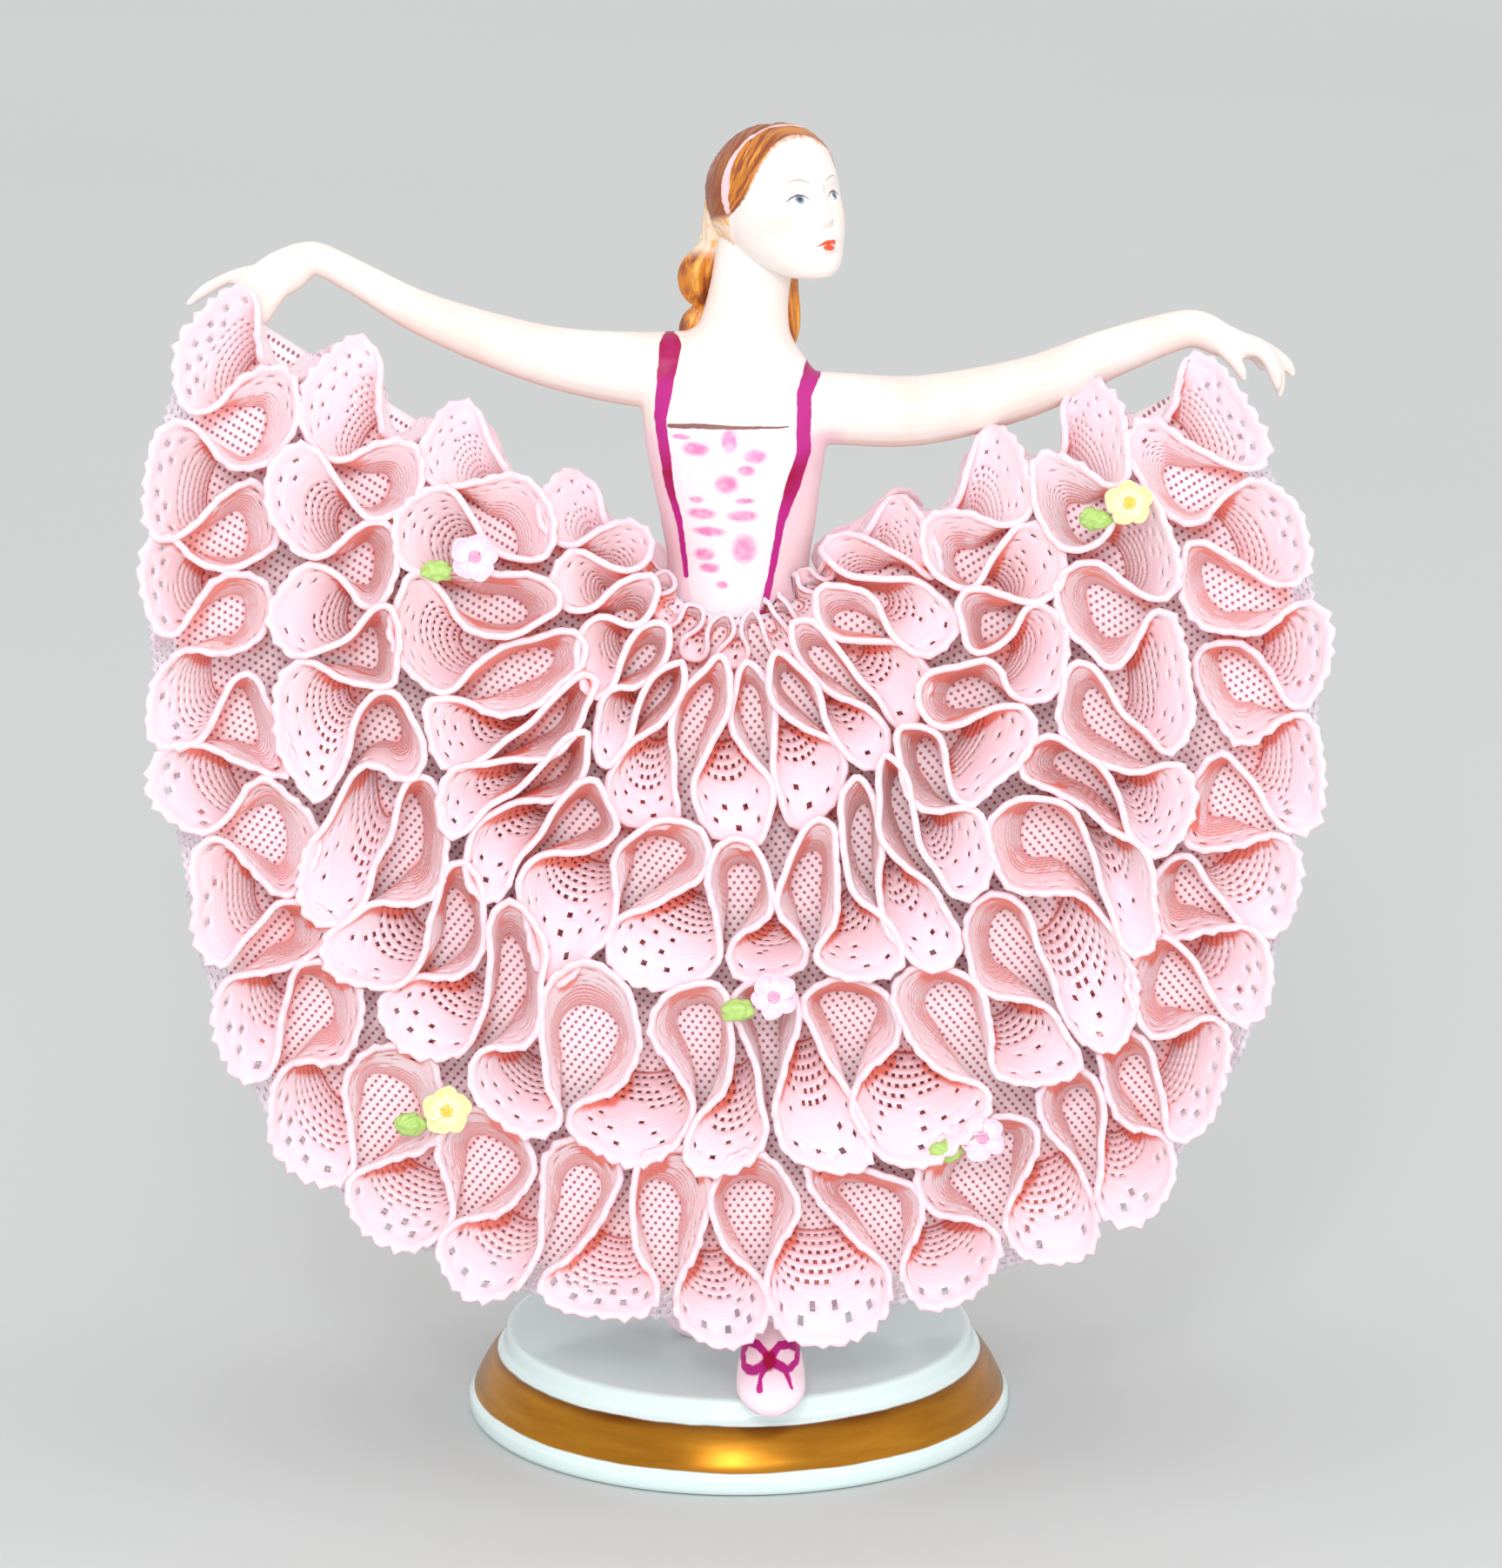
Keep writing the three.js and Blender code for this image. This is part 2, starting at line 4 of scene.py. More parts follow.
import bmesh
import bpy
import numpy as np
from mathutils import Matrix, Vector
from mathutils.bvhtree import BVHTree


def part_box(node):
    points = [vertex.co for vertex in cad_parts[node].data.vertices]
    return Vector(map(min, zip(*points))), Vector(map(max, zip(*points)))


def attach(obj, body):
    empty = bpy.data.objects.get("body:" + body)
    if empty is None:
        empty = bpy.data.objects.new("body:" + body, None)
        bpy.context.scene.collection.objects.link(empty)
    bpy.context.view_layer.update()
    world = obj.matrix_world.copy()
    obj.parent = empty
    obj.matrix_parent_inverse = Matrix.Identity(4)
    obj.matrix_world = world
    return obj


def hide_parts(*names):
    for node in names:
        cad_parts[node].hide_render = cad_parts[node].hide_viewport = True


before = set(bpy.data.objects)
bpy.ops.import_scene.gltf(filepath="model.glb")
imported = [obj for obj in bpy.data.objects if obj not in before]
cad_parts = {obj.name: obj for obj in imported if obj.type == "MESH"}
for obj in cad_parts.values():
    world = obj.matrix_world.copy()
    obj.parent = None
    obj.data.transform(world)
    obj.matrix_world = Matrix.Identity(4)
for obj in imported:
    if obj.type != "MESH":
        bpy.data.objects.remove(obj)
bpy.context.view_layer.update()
mm = 0.001
degree = math.pi / 180
print("frame loaded")

# Sizes shared with the solids, in millimetres, and the body's own in thousandths of its height
figure = {
    "height": 168.3,
    "baseHeight": 12.0,
    "headTurn": 38,
    "headLift": 14,
    "headPlace": (31, -3, 930),
    "waist": (0, 0, 636),
    "waistHalf": 57,
    "waistHalfDepth": 40,
    "rightHold": (-413, 859),
    "leftHold": (378, 796),
}
skirt = {
    "clothGap": 0.3,
    "netThickness": 0.8,
    "hemClearance": 9.6,
    "frontDepth": 27,
    "backDepth": 24,
    "sideReach": 77.5,
    "waistDip": 4.5,
    "waistEase": 0.4,
    "bellPower": 0.85,
    "dipPower": 1.5,
    "hemAngles": (31, 79, 85, 118),
}
share = figure["height"] / 1000


def bodyPoint(x, y, z):
    return np.array([x * share, y * share, figure["baseHeight"] + z * share])


waistCentre = bodyPoint(*figure["waist"])
waistWidth = figure["waistHalf"] * share + skirt["clothGap"] + skirt["netThickness"]
waistDepth = figure["waistHalfDepth"] * share + skirt["clothGap"] + skirt["netThickness"] + skirt["waistEase"]
hemDrop = waistCentre[2] - figure["baseHeight"] - skirt["hemClearance"] - skirt["waistDip"]
rightGrip = bodyPoint(figure["rightHold"][0], 0, figure["rightHold"][1])
leftGrip = bodyPoint(figure["leftHold"][0], 0, figure["leftHold"][1])


def handAngle(grip):
    return math.atan2(abs(grip[0] - waistCentre[0]), waistCentre[2] - skirt["waistDip"] - grip[2])


middleAngle = (handAngle(leftGrip) - handAngle(rightGrip)) / 2
halfAngle = (handAngle(leftGrip) + handAngle(rightGrip)) / 2


def smoothStep(start, end, value):
    t = np.clip((value - start) / (end - start), 0, 1)
    return t * t * (3 - 2 * t)


def hemReach(angle):
    right, left = (
        np.hypot(grip[0] - waistCentre[0], grip[2] - waistCentre[2] + skirt["waistDip"])
        for grip in (rightGrip, leftGrip)
    )
    gripReach = np.where(angle < 0, right, left)
    frontEnd, sideStart, sideEnd, handStart = skirt["hemAngles"]
    down = 1 - smoothStep(frontEnd, sideStart, np.abs(angle) / degree)
    up = smoothStep(sideEnd, handStart, np.abs(angle) / degree)
    side = skirt["sideReach"]
    return side + (hemDrop - side) * down + (gripReach - side) * up


# A point of the flattened bell: along is 0 at the waist and 1 at the hem, turn is 0 in front
def skirtPoint(along, turn):
    sideways, forwards = np.sin(turn), np.cos(turn)
    angle = middleAngle + halfAngle * sideways
    reach = hemReach(angle)
    waistHeight = waistCentre[2] - skirt["waistDip"] * np.abs(forwards) ** skirt["dipPower"]
    hemDepth = np.where(forwards > 0, skirt["frontDepth"], skirt["backDepth"])
    bell = np.maximum(along, 0) ** skirt["bellPower"]
    waistX = waistCentre[0] + waistWidth * sideways
    hemX = waistCentre[0] + reach * np.sin(angle)
    hemZ = waistCentre[2] - skirt["waistDip"] - reach * np.cos(angle)
    return np.stack([
        waistX + (hemX - waistX) * along,
        -forwards * (waistDepth + (hemDepth - waistDepth) * bell),
        waistHeight + (hemZ - waistHeight) * along,
    ], axis=-1)


def unit(vectors):
    return vectors / np.maximum(np.linalg.norm(vectors, axis=-1, keepdims=True), 1e-12)


def skirtNormal(along, turn):
    step = 1e-3
    outward = skirtPoint(along + step, turn) - skirtPoint(np.maximum(along - step, 0), turn)
    around = skirtPoint(along, turn + step) - skirtPoint(along, turn - step)
    return unit(np.cross(outward, around))


def aboveSkirt(along, turn, height):
    return skirtPoint(along, turn) + skirtNormal(along, turn) * height[..., None]


def clearSelection():
    bpy.ops.object.select_all(action="DESELECT")
    bpy.context.view_layer.objects.active = None


def getTriples(items, key="co"):
    values = np.empty(len(items) * 3)
    items.foreach_get(key, values)
    return values.reshape(-1, 3)


def getPlaces(piece):
    return getTriples(piece.data.vertices)


def setAttribute(piece, name, values):
    layer = piece.data.attributes.new(name, "FLOAT", "POINT")
    layer.data.foreach_set("value", values.astype(np.float32))


def renamed(piece, name):
    piece.name = piece.data.name = name
    return piece


def circle(count):
    return np.arange(count) * 2 * math.pi / count


# How far along a line of points each one lies
def runLengths(points):
    return np.concatenate([[0], np.cumsum(np.linalg.norm(np.diff(points, axis=0), axis=1))])


def skirtRun(along, turns):
    return runLengths(skirtPoint(np.full(turns.shape, along), turns))


def setPlaces(piece, places):
    piece.data.vertices.foreach_set("co", np.ascontiguousarray(places).reshape(-1))
    piece.data.update()


def makeActive(piece):
    clearSelection()
    piece.select_set(True)
    bpy.context.view_layer.objects.active = piece


def applyModifier(piece, kind, **settings):
    makeActive(piece)
    modifier = piece.modifiers.new(kind.title(), kind)
    for key, value in settings.items():
        setattr(modifier, key, value)
    bpy.ops.object.modifier_apply(modifier=modifier.name)


def inEditMode(piece, operator, **settings):
    makeActive(piece)
    bpy.ops.object.mode_set(mode="EDIT")
    bpy.ops.mesh.select_all(action="SELECT")
    operator(**settings)
    bpy.ops.object.mode_set(mode="OBJECT")


def shadeSmooth(piece, material=None):
    makeActive(piece)
    bpy.ops.object.shade_smooth()
    if material:
        piece.data.materials.append(material)


# A grid whose points are known by column and row before they are moved
def addGrid(name, columns, rows):
    clearSelection()
    bpy.ops.mesh.primitive_grid_add(x_subdivisions=columns, y_subdivisions=rows, size=1)
    piece = renamed(bpy.context.object, name)
    start = getPlaces(piece)
    column = np.rint((start[:, 0] + 0.5) * columns).astype(int)
    row = np.rint((start[:, 1] + 0.5) * rows).astype(int)
    return piece, column, row


def faceCells(piece, columns, rows):
    centres = getTriples(piece.data.polygons, "center")
    column = np.floor((centres[:, 0] + 0.5) * columns).astype(int)
    row = np.floor((centres[:, 1] + 0.5) * rows).astype(int)
    return column, row


def punchHoles(piece, isHole):
    mesh = piece.data
    makeActive(piece)
    mesh.vertices.foreach_set("select", np.zeros(len(mesh.vertices), bool))
    mesh.edges.foreach_set("select", np.zeros(len(mesh.edges), bool))
    mesh.polygons.foreach_set("select", isHole)
    bpy.context.tool_settings.mesh_select_mode = (False, False, True)
    bpy.ops.object.mode_set(mode="EDIT")
    bpy.ops.mesh.delete(type="FACE")
    bpy.ops.object.mode_set(mode="OBJECT")


def setUv(piece, across, up):
    mesh = piece.data
    loops = np.empty(len(mesh.loops), int)
    mesh.loops.foreach_get("vertex_index", loops)
    places = np.stack([across[loops], up[loops]], axis=-1).astype(np.float32)
    mesh.uv_layers[0].data.foreach_set("uv", places.reshape(-1))


# A closed shape through rings of points, started as a sphere with one ring for each
def addLoft(name, rings):
    count, sides = rings.shape[:2]
    clearSelection()
    bpy.ops.mesh.primitive_uv_sphere_add(segments=sides, ring_count=count + 1, radius=1)
    piece = renamed(bpy.context.object, name)
    start = getPlaces(piece)
    level = np.rint(np.arccos(np.clip(start[:, 2], -1, 1)) * (count + 1) / math.pi).astype(int)
    side = np.rint(np.arctan2(start[:, 1], start[:, 0]) * sides / (2 * math.pi)).astype(int) % sides
    places = rings[np.clip(level - 1, 0, count - 1), side]
    places[level == 0] = rings[0].mean(axis=0)
    places[level == count + 1] = rings[-1].mean(axis=0)
    setPlaces(piece, places * mm)
    inEditMode(piece, bpy.ops.mesh.normals_make_consistent, inside=False)
    return piece


# Rings of a turned shape, from its radii and heights
def turnedRings(profile, sides):
    turn = circle(sides)
    return np.array([
        np.stack([radius * np.cos(turn), radius * np.sin(turn), np.full(sides, height)], axis=-1)
        for radius, height in profile
    ])


def joinPieces(name, pieces):
    clearSelection()
    for piece in pieces:
        piece.select_set(True)
    bpy.context.view_layer.objects.active = pieces[0]
    bpy.ops.object.join()
    return renamed(bpy.context.object, name)


# Sections smoothed into more of them, as a draughtsman's spline runs through its points
def smoothSections(sections, steps):
    width = max(len(section) for section in sections)
    rows = np.array([list(section) + [section[-1]] * (width - len(section)) for section in sections], float)
    padded = np.vstack([2 * rows[0] - rows[1], rows, 2 * rows[-1] - rows[-2]])
    out = []
    for i in range(len(rows) - 1):
        a, b, c, d = padded[i:i + 4]
        for t in np.arange(steps) / steps:
            curve = (2 * a - 5 * b + 4 * c - d) * t ** 2 + (3 * b - a - 3 * c + d) * t ** 3
            out.append(0.5 * (2 * b + (c - a) * t + curve))
    out.append(rows[-1])
    return np.array(out)


def ringPoints(sides, centre, across, depthward, half, halfDepth):
    turn = (np.arange(sides) + 0.5) * 2 * math.pi / sides
    return centre + half * np.cos(turn)[:, None] * across + halfDepth * np.sin(turn)[:, None] * depthward


# Sections of a limb are x, y, z, half its thickness and half its depth
def limbRings(sections, sides=20, steps=4):
    filled = [section if len(section) == 5 else (*section, section[3]) for section in sections]
    rows = smoothSections(filled, steps)
    centres = np.array([bodyPoint(*row[:3]) for row in rows])
    rings = []
    for i, row in enumerate(rows):
        along = unit(centres[min(i + 1, len(rows) - 1)] - centres[max(i - 1, 0)])
        depthward = unit(np.array([0, 1, 0]) - along * along[1])
        across = np.cross(depthward, along)
        half, halfDepth = (max(size, 0.5) * share for size in row[3:])
        rings.append(ringPoints(sides, centres[i], across, depthward, half, halfDepth))
    return np.array(rings)


# Sections of a trunk are z, x, y, half its width, half its depth and its tilt
def trunkRings(sections, sides=32, steps=4):
    filled = [list(section) + [0] * (6 - len(section)) for section in sections]
    rows = smoothSections(filled, steps)
    rings = []
    for z, x, y, half, halfDepth, tilt in rows:
        across = np.array([math.cos(tilt * degree), 0, math.sin(tilt * degree)])
        depthward = np.array([0, 1, 0])
        rings.append(
            ringPoints(sides, bodyPoint(x, y, z), across, depthward, half * share, halfDepth * share)
        )
    return np.array(rings)


# Materials: what a node gives, which plain arithmetic turns into further nodes
class Value:
    def __init__(self, material, socket):
        self.material = material
        self.socket = socket

    def reckon(self, operation, other=None, output=0, **settings):
        kind = "ShaderNodeMath" if self.socket.type == "VALUE" else "ShaderNodeVectorMath"
        inputs = {0: self} if other is None else {0: self, 1: other}
        return addNode(self.material, kind, inputs, output, operation=operation, **settings)

    __add__ = partialmethod(reckon, "ADD")
    __sub__ = partialmethod(reckon, "SUBTRACT")
    __mul__ = partialmethod(reckon, "MULTIPLY")
    __truediv__ = partialmethod(reckon, "DIVIDE")
    __gt__ = partialmethod(reckon, "GREATER_THAN")
    __lt__ = partialmethod(reckon, "LESS_THAN")
    __abs__ = partialmethod(reckon, "ABSOLUTE")

    def __rsub__(self, other):
        return self * -1 + other

    def size(self):
        return self.reckon("LENGTH", output="Value")

    def ramp(self, low, high, fromLow=0.0, fromHigh=1.0, smooth=False):
        inputs = {"Value": self, "From Min": fromLow, "From Max": fromHigh, "To Min": low, "To Max": high}
        kind = "SMOOTHSTEP" if smooth else "LINEAR"
        return addNode(self.material, "ShaderNodeMapRange", inputs, interpolation_type=kind)

    def noise(self, scale, detail=3.0, rough=0.5, output="Fac"):
        inputs = {"Vector": self, "Scale": scale, "Detail": detail, "Roughness": rough}
        return addNode(self.material, "ShaderNodeTexNoise", inputs, output)

    def mapped(self, scale=(1, 1, 1), location=(0, 0, 0), rotation=(0, 0, 0), kind="POINT"):
        inputs = {"Vector": self, "Location": location, "Rotation": rotation, "Scale": scale}
        return addNode(self.material, "ShaderNodeMapping", inputs, vector_type=kind)

    def bump(self, strength, distance):
        inputs = {"Height": self, "Strength": strength, "Distance": distance}
        return addNode(self.material, "ShaderNodeBump", inputs)

    def parts(self):
        node = addNode(self.material, "ShaderNodeSeparateXYZ", {0: self}).socket.node
        return [Value(self.material, socket) for socket in node.outputs]


def setInputs(node, values):
    for key, value in values.items():
        if isinstance(value, Value):
            value.material.node_tree.links.new(value.socket, node.inputs[key])
        else:
            node.inputs[key].default_value = value


def addNode(material, kind, inputs=None, output=0, **settings):
    node = material.node_tree.nodes.new(kind)
    for key, value in settings.items():
        setattr(node, key, value)
    setInputs(node, inputs or {})
    return Value(material, node.outputs[output])


# The Mix node keeps its colours in sockets 6 and 7 and gives one in socket 2
def mix(amount, first, second, blend="MIX"):
    first, second = ((*colour, 1) if isinstance(colour, tuple) else colour for colour in (first, second))
    inputs = {0: amount, 6: first, 7: second}
    return addNode(amount.material, "ShaderNodeMix", inputs, 2, data_type="RGBA", blend_type=blend)


def strongest(masks):
    result = masks[0]
    for mask in masks[1:]:
        result = result.reckon("MAXIMUM", mask)
    return result


def attributeOf(material, name):
    return addNode(material, "ShaderNodeAttribute", output="Fac", attribute_name=name)


# A new material and its Object coordinates
def newMaterial(name):
    material = bpy.data.materials.new(name)
    material.use_nodes = True
    return material, addNode(material, "ShaderNodeTexCoord", output="Object")


# The shader's inputs are named with underscores for their spaces
def setShader(material, **values):
    inputs = {key.replace("_", " "): value for key, value in values.items()}
    setInputs(material.node_tree.nodes["Principled BSDF"], inputs)


# A glaze in fine clouds of two tones
def cloudedMaterial(name, scale, tones, strength, depth, **finish):
    material, place = newMaterial(name)
    cloud = place.noise(scale)
    setShader(material, Base_Color=mix(cloud, *tones), Normal=cloud.bump(strength, depth * mm), **finish)
    return material


laceLook = {
    # The stuck edge's colour is painted shade deep in the fold, the under colour is painted shadow of the
    # folds, and the lamp-facing tint is painted darkening of cloth that faces the lamp
    "deep": (0.99, 0.84, 0.88),
    "net": (0.99, 0.92, 0.96),
    "band": (0.99, 0.86, 0.90),
    "rim": (0.96, 0.80, 0.84),
    "pale": (0.97, 0.83, 0.91),
    "under": (0.97, 0.31, 0.25),
    "lampLit": (0.96, 0.85, 0.91),
    "roughness": 0.42,
    "bump": 0.35,
}


# Slip-dipped lace with painted shade in its folds: v runs from the stuck edge to the free edge
def laceMaterial(name, look):
    material, place = newMaterial(name)
    uv = addNode(material, "ShaderNodeUVMap")
    height = uv.parts()[1]
    patches = place.noise(140, 2)
    streaks = uv.mapped((1.2, 22, 1)).noise(1.6, 3, 0.6)
    # Painted shade deep in the fold, towards the stuck edge
    colour = mix(height.ramp(0, 1, 0.0, 0.3, True), look["deep"], look["net"])
    colour = mix(height.ramp(0, 1, 0.45, 0.7, True), colour, look["band"])
    colour = mix(height.ramp(0, 1, 0.9, 0.97, True), colour, look["rim"])
    pale = patches.ramp(0, 0.5, 0.42, 0.7) * height.ramp(1, 0.2, 0.85, 0.93)
    colour = mix(pale, colour, look["pale"])
    # Painted evening-out of the light: cloth that faces the lamp is tinted darker
    colour = mix(attributeOf(material, "lampLit"), colour, look["lampLit"], "MULTIPLY")
    # Painted shadow where folds shade the cloth, kept off the free edge
    below = attributeOf(material, "under").ramp(0, 1, 0.38, 0.8) * height.ramp(1, 0.35, 0.92, 0.97)
    colour = mix(below, colour, look["under"])
    rough = patches.ramp(look["roughness"] - 0.1, look["roughness"] + 0.1)
    setShader(material, Base_Color=colour, Roughness=rough, Normal=streaks.bump(look["bump"], 0.3 * mm))
    setShader(material, Specular_IOR_Level=0.3, Coat_Weight=0.04, Coat_Roughness=0.3)
    return material


# Ruffles
def waveTable(bend, steps=480):
    heading = bend * np.sin(2 * math.pi * (np.arange(steps) + 0.5) / steps)
    along = np.concatenate([[0], np.cumsum(np.cos(heading))])
    across = np.concatenate([[0], np.cumsum(np.sin(heading))])
    return along / along[-1], 2 * across / across[steps // 2] - 1


# Turns that part a ruffle's sweep into equal lengths of skirt
def evenTurns(middleTurn, tier):
    turns = (middleTurn + tier["sweep"] * np.linspace(-1, 1, 241)) * degree
    lengths = skirtRun((tier["inner"] + tier["outer"]) / 2, turns)
    fractions = lengths / lengths[-1]
    slopes = [(turns[1] - turns[0]) / fractions[1], (turns[-1] - turns[-2]) / (1 - fractions[-2])]
    fractions = np.concatenate([[-1], fractions, [2]])
    turns = np.concatenate([[turns[0] - slopes[0]], turns, [turns[-1] + slopes[1]]])
    return lambda fraction: np.interp(fraction, fractions, turns)


ruffles = {
    "rootBand": 0.34,
    "rootLoop": 0.4,
    "rootPlace": 0.28,
    "nest": 0.012,
    "foldEase": 0.4,
    "foldDrop": 0.2,
    "foldPower": 12,
    "endEase": 0.4,
    "hemRise": 0.028,
    "oddStep": 0.2,
    "oddLean": 0.1,
    "oddReach": 0.07,
    "oddLift": 0.13,
    "thickness": 1.0,
    "flare": 1.1,
    "wobble": 0.36,
    "toothPitch": 2.1,
    "netStart": 0.06,
}
# How far up the last rows lie and how thick the edge is there: a rounded cord
rimRows = [(0.085, 0.6), (0.055, 0.95), (0.02, 0.9), (0, 0.4)]
frontTiers = [
    {"waves": 7, "inner": 0.005, "outer": 0.07, "height": 3.4, "bend": 1.9, "sweep": 78, "rows": 8,
     "cell": 0.6, "net": 0.6, "picot": 0.2, "cord": 0.7},
    {"waves": 11, "inner": 0.068, "outer": 0.283, "height": 8.5, "bend": 2.08, "sweep": 87, "rows": 20,
     "cell": 0.76, "net": 0.48, "picot": 0.4},
    {"waves": 16, "inner": 0.284, "outer": 0.534, "height": 10.5, "bend": 2.09, "sweep": 87, "rows": 25,
     "cell": 0.74, "net": 0.5, "picot": 0.55},
    {"waves": 19, "inner": 0.535, "outer": 0.783, "height": 10.5, "bend": 2.09, "sweep": 88, "rows": 24,
     "cell": 0.76, "net": 0.52, "picot": 0.7},
    {"waves": 23, "inner": 0.784, "outer": 1.03, "height": 9.5, "bend": 2.08, "sweep": 86, "rows": 24,
     "cell": 0.8, "net": 0.55, "picot": 0.9},
]
backTiers = [
    {"waves": 6, "inner": 0.035, "outer": 0.27, "height": 6.5, "bend": 2.0, "sweep": 88, "rows": 14,
     "cell": 1.0, "net": 0.6, "picot": 0.4},
    {"waves": 8, "inner": 0.26, "outer": 0.52, "height": 8, "bend": 2.0, "sweep": 88, "rows": 15,
     "cell": 1.0, "net": 0.6, "picot": 0.4},
    {"waves": 10, "inner": 0.51, "outer": 0.77, "height": 8.5, "bend": 2.0, "sweep": 88, "rows": 15,
     "cell": 1.0, "net": 0.6, "picot": 0.5},
    {"waves": 12, "inner": 0.76, "outer": 1.01, "height": 8, "bend": 2.0, "sweep": 88, "rows": 15,
     "cell": 1.0, "net": 0.6, "picot": 0.8},
]
# Gentle waves that stir one side's whole pattern, laid out flat about the waist, so that its cells
# come out wide, slim or leaning as folds pushed in by hand do and still never cross
stir = {
    "waves": 9,
    "shortest": 24,
    "longest": 50,
    "push": 0.22,
    "centre": 10,
    "reach": 88,
    "level": 0.75,
    "atHem": 0.45,
    "atWaist": 0.25,
    "atSide": 0.2,
    "seed": 7,
}


def makeChart(middleTurn, seed):
    chance = np.random.default_rng(seed)
    turns = (middleTurn + np.linspace(-120, 120, 481)) * degree
    lengths = skirtRun(stir["level"], turns)
    angles = (lengths - lengths[240]) / (stir["centre"] + stir["level"] * stir["reach"])
    waves = []
    for _ in range(stir["waves"]):
        length = chance.uniform(stir["shortest"], stir["longest"])
        way, aim, phase = chance.uniform(0, 2 * math.pi, 3)
        size = stir["push"] * length / (2 * math.pi)
        wave = 2 * math.pi / length * np.array([math.cos(way), math.sin(way)])
        waves.append((wave, size * np.array([math.cos(aim), math.sin(aim)]), phase))
    side = np.interp((middleTurn + 90) * degree, turns, angles)
    return {"turns": turns, "angles": angles, "side": side, "waves": waves}


def stirred(chart, along, turn):
    angle = np.interp(turn, chart["turns"], chart["angles"])
    radius = stir["centre"] + stir["reach"] * along
    places = np.stack([radius * np.sin(angle), -radius * np.cos(angle)], axis=-1)
    for wave, push, phase in chart["waves"]:
        level = (np.hypot(places[..., 0], places[..., 1]) - stir["centre"]) / stir["reach"]
        aside = np.abs(np.arctan2(places[..., 0], -places[..., 1])) / chart["side"]
        amount = stir["atWaist"] + (1 - stir["atWaist"]) * smoothStep(0, 0.3, level)
        amount = amount * (1 - (1 - stir["atHem"]) * smoothStep(0.75, 1.0, level))
        amount = amount * (1 - (1 - stir["atSide"]) * smoothStep(0.75, 1.0, aside))
        places = places + push * (amount * np.sin(places @ wave + phase))[..., None]
    angle = np.arctan2(places[..., 0], -places[..., 1])
    radius = np.hypot(places[..., 0], places[..., 1])
    return (radius - stir["centre"]) / stir["reach"], np.interp(angle, chart["angles"], chart["turns"])


# Where a ruffle's tips lie: the even ones point to the waist, the odd ones to the hem
def planRuffle(middleTurn, tier, seed):
    chance = np.random.default_rng(seed)
    steps = 1 + ruffles["oddStep"] * chance.uniform(-1, 1, 2 * tier["waves"])
    steps = steps / steps.sum() * 2 * tier["waves"]
    starts = np.concatenate([[0], np.cumsum(steps)])
    tips = evenTurns(middleTurn, tier)(starts / 2 / tier["waves"])
    return {"chance": chance, "steps": steps, "starts": starts, "tips": tips, "nest": np.zeros(len(tips))}


# Tips that face a gap of the next ruffle reach a little way into it
def nestTips(plans):
    for one, two in zip(plans, plans[1:]):
        for plan, first, other, otherFirst in ((one, 1, two, 0), (two, 0, one, 1)):
            lampLit = other["tips"][otherFirst::2]
            room = np.min(np.diff(lampLit))
            away = np.min(np.abs(plan["tips"][first::2, None] - lampLit[None, :]), axis=1) / (room / 2)
            plan["nest"][first::2] = ruffles["nest"] * smoothStep(0.3, 0.95, away)


# The free and the stuck edge at each place, given in waves, in the skirt's own coordinates
def ruffleEdges(middleTurn, tier, place, plan):
    chance, steps, starts = plan["chance"], plan["steps"], plan["starts"]
    width = tier["outer"] - tier["inner"]
    middle = (tier["inner"] + tier["outer"]) / 2
    root = tier["inner"] + ruffles["rootPlace"] * width
    waves = tier["waves"]
    turnAt = evenTurns(middleTurn, tier)
    waveAlong, waveAcross = waveTable(tier["bend"])
    halfSteps = len(waveAlong) // 2 + 1
    progress = np.linspace(0, 1, halfSteps)
    half = np.minimum(np.floor(place * 2).astype(int), 2 * waves - 1)
    way = place * 2 - half
    loop = np.interp(way, progress, 2 * waveAlong[:halfSteps] - progress) / 2
    climb = np.interp(way, progress, (waveAcross[:halfSteps] + 1) / 2)
    even = (starts[half] + steps[half] * way) / 2

    def perTip(amount):
        values = amount * chance.uniform(-1, 1, 2 * waves + 1)
        values[0] = values[-1] = 0
        return values[half] * (1 - climb) + values[half + 1] * climb

    outwards = np.where(half % 2 == 0, 2 * climb - 1, 1 - 2 * climb)
    nest = plan["nest"][half] * (1 - climb) + plan["nest"][half + 1] * climb
    across = outwards * (1 + perTip(ruffles["oddReach"]) + nest * 2 / width)
    loop = loop * steps[half]
    rimTurn = turnAt((even + loop + perTip(ruffles["oddLean"])) / waves)
    rootTurn = turnAt((even + ruffles["rootLoop"] * loop) / waves)
    nearSide = np.abs(np.sin(rimTurn)) ** ruffles["foldPower"]
    ended = 0.25 + 0.75 * smoothStep(0, ruffles["endEase"], np.minimum(place, waves - place))
    risen = ruffles["hemRise"] * np.maximum(np.cos(rimTurn), 0) ** 6 * middle ** 4
    lift = tier["height"] * (1 - ruffles["foldDrop"] * nearSide)
    return {
        "rimAlong": middle + width * across / 2 - risen,
        "rimTurn": rimTurn,
        "rootAlong": root + ruffles["rootBand"] * width * across / 2,
        "rootTurn": rootTurn,
        "lift": lift * (1 + perTip(ruffles["oddLift"])) * ended,
        "gap": skirt["clothGap"] + ruffles["foldEase"] * nearSide,
    }


# The cloth at levels from 0 at the stuck edge to 1 at the free edge
def ruffleCloth(chart, edges, up):
    flare = up ** ruffles["flare"]
    along = edges["rootAlong"] + (edges["rimAlong"] - edges["rootAlong"]) * flare
    turn = edges["rootTurn"] + (edges["rimTurn"] - edges["rootTurn"]) * flare
    height = edges["gap"] + (edges["lift"] - edges["gap"]) * up
    return aboveSkirt(*stirred(chart, along, turn), height)


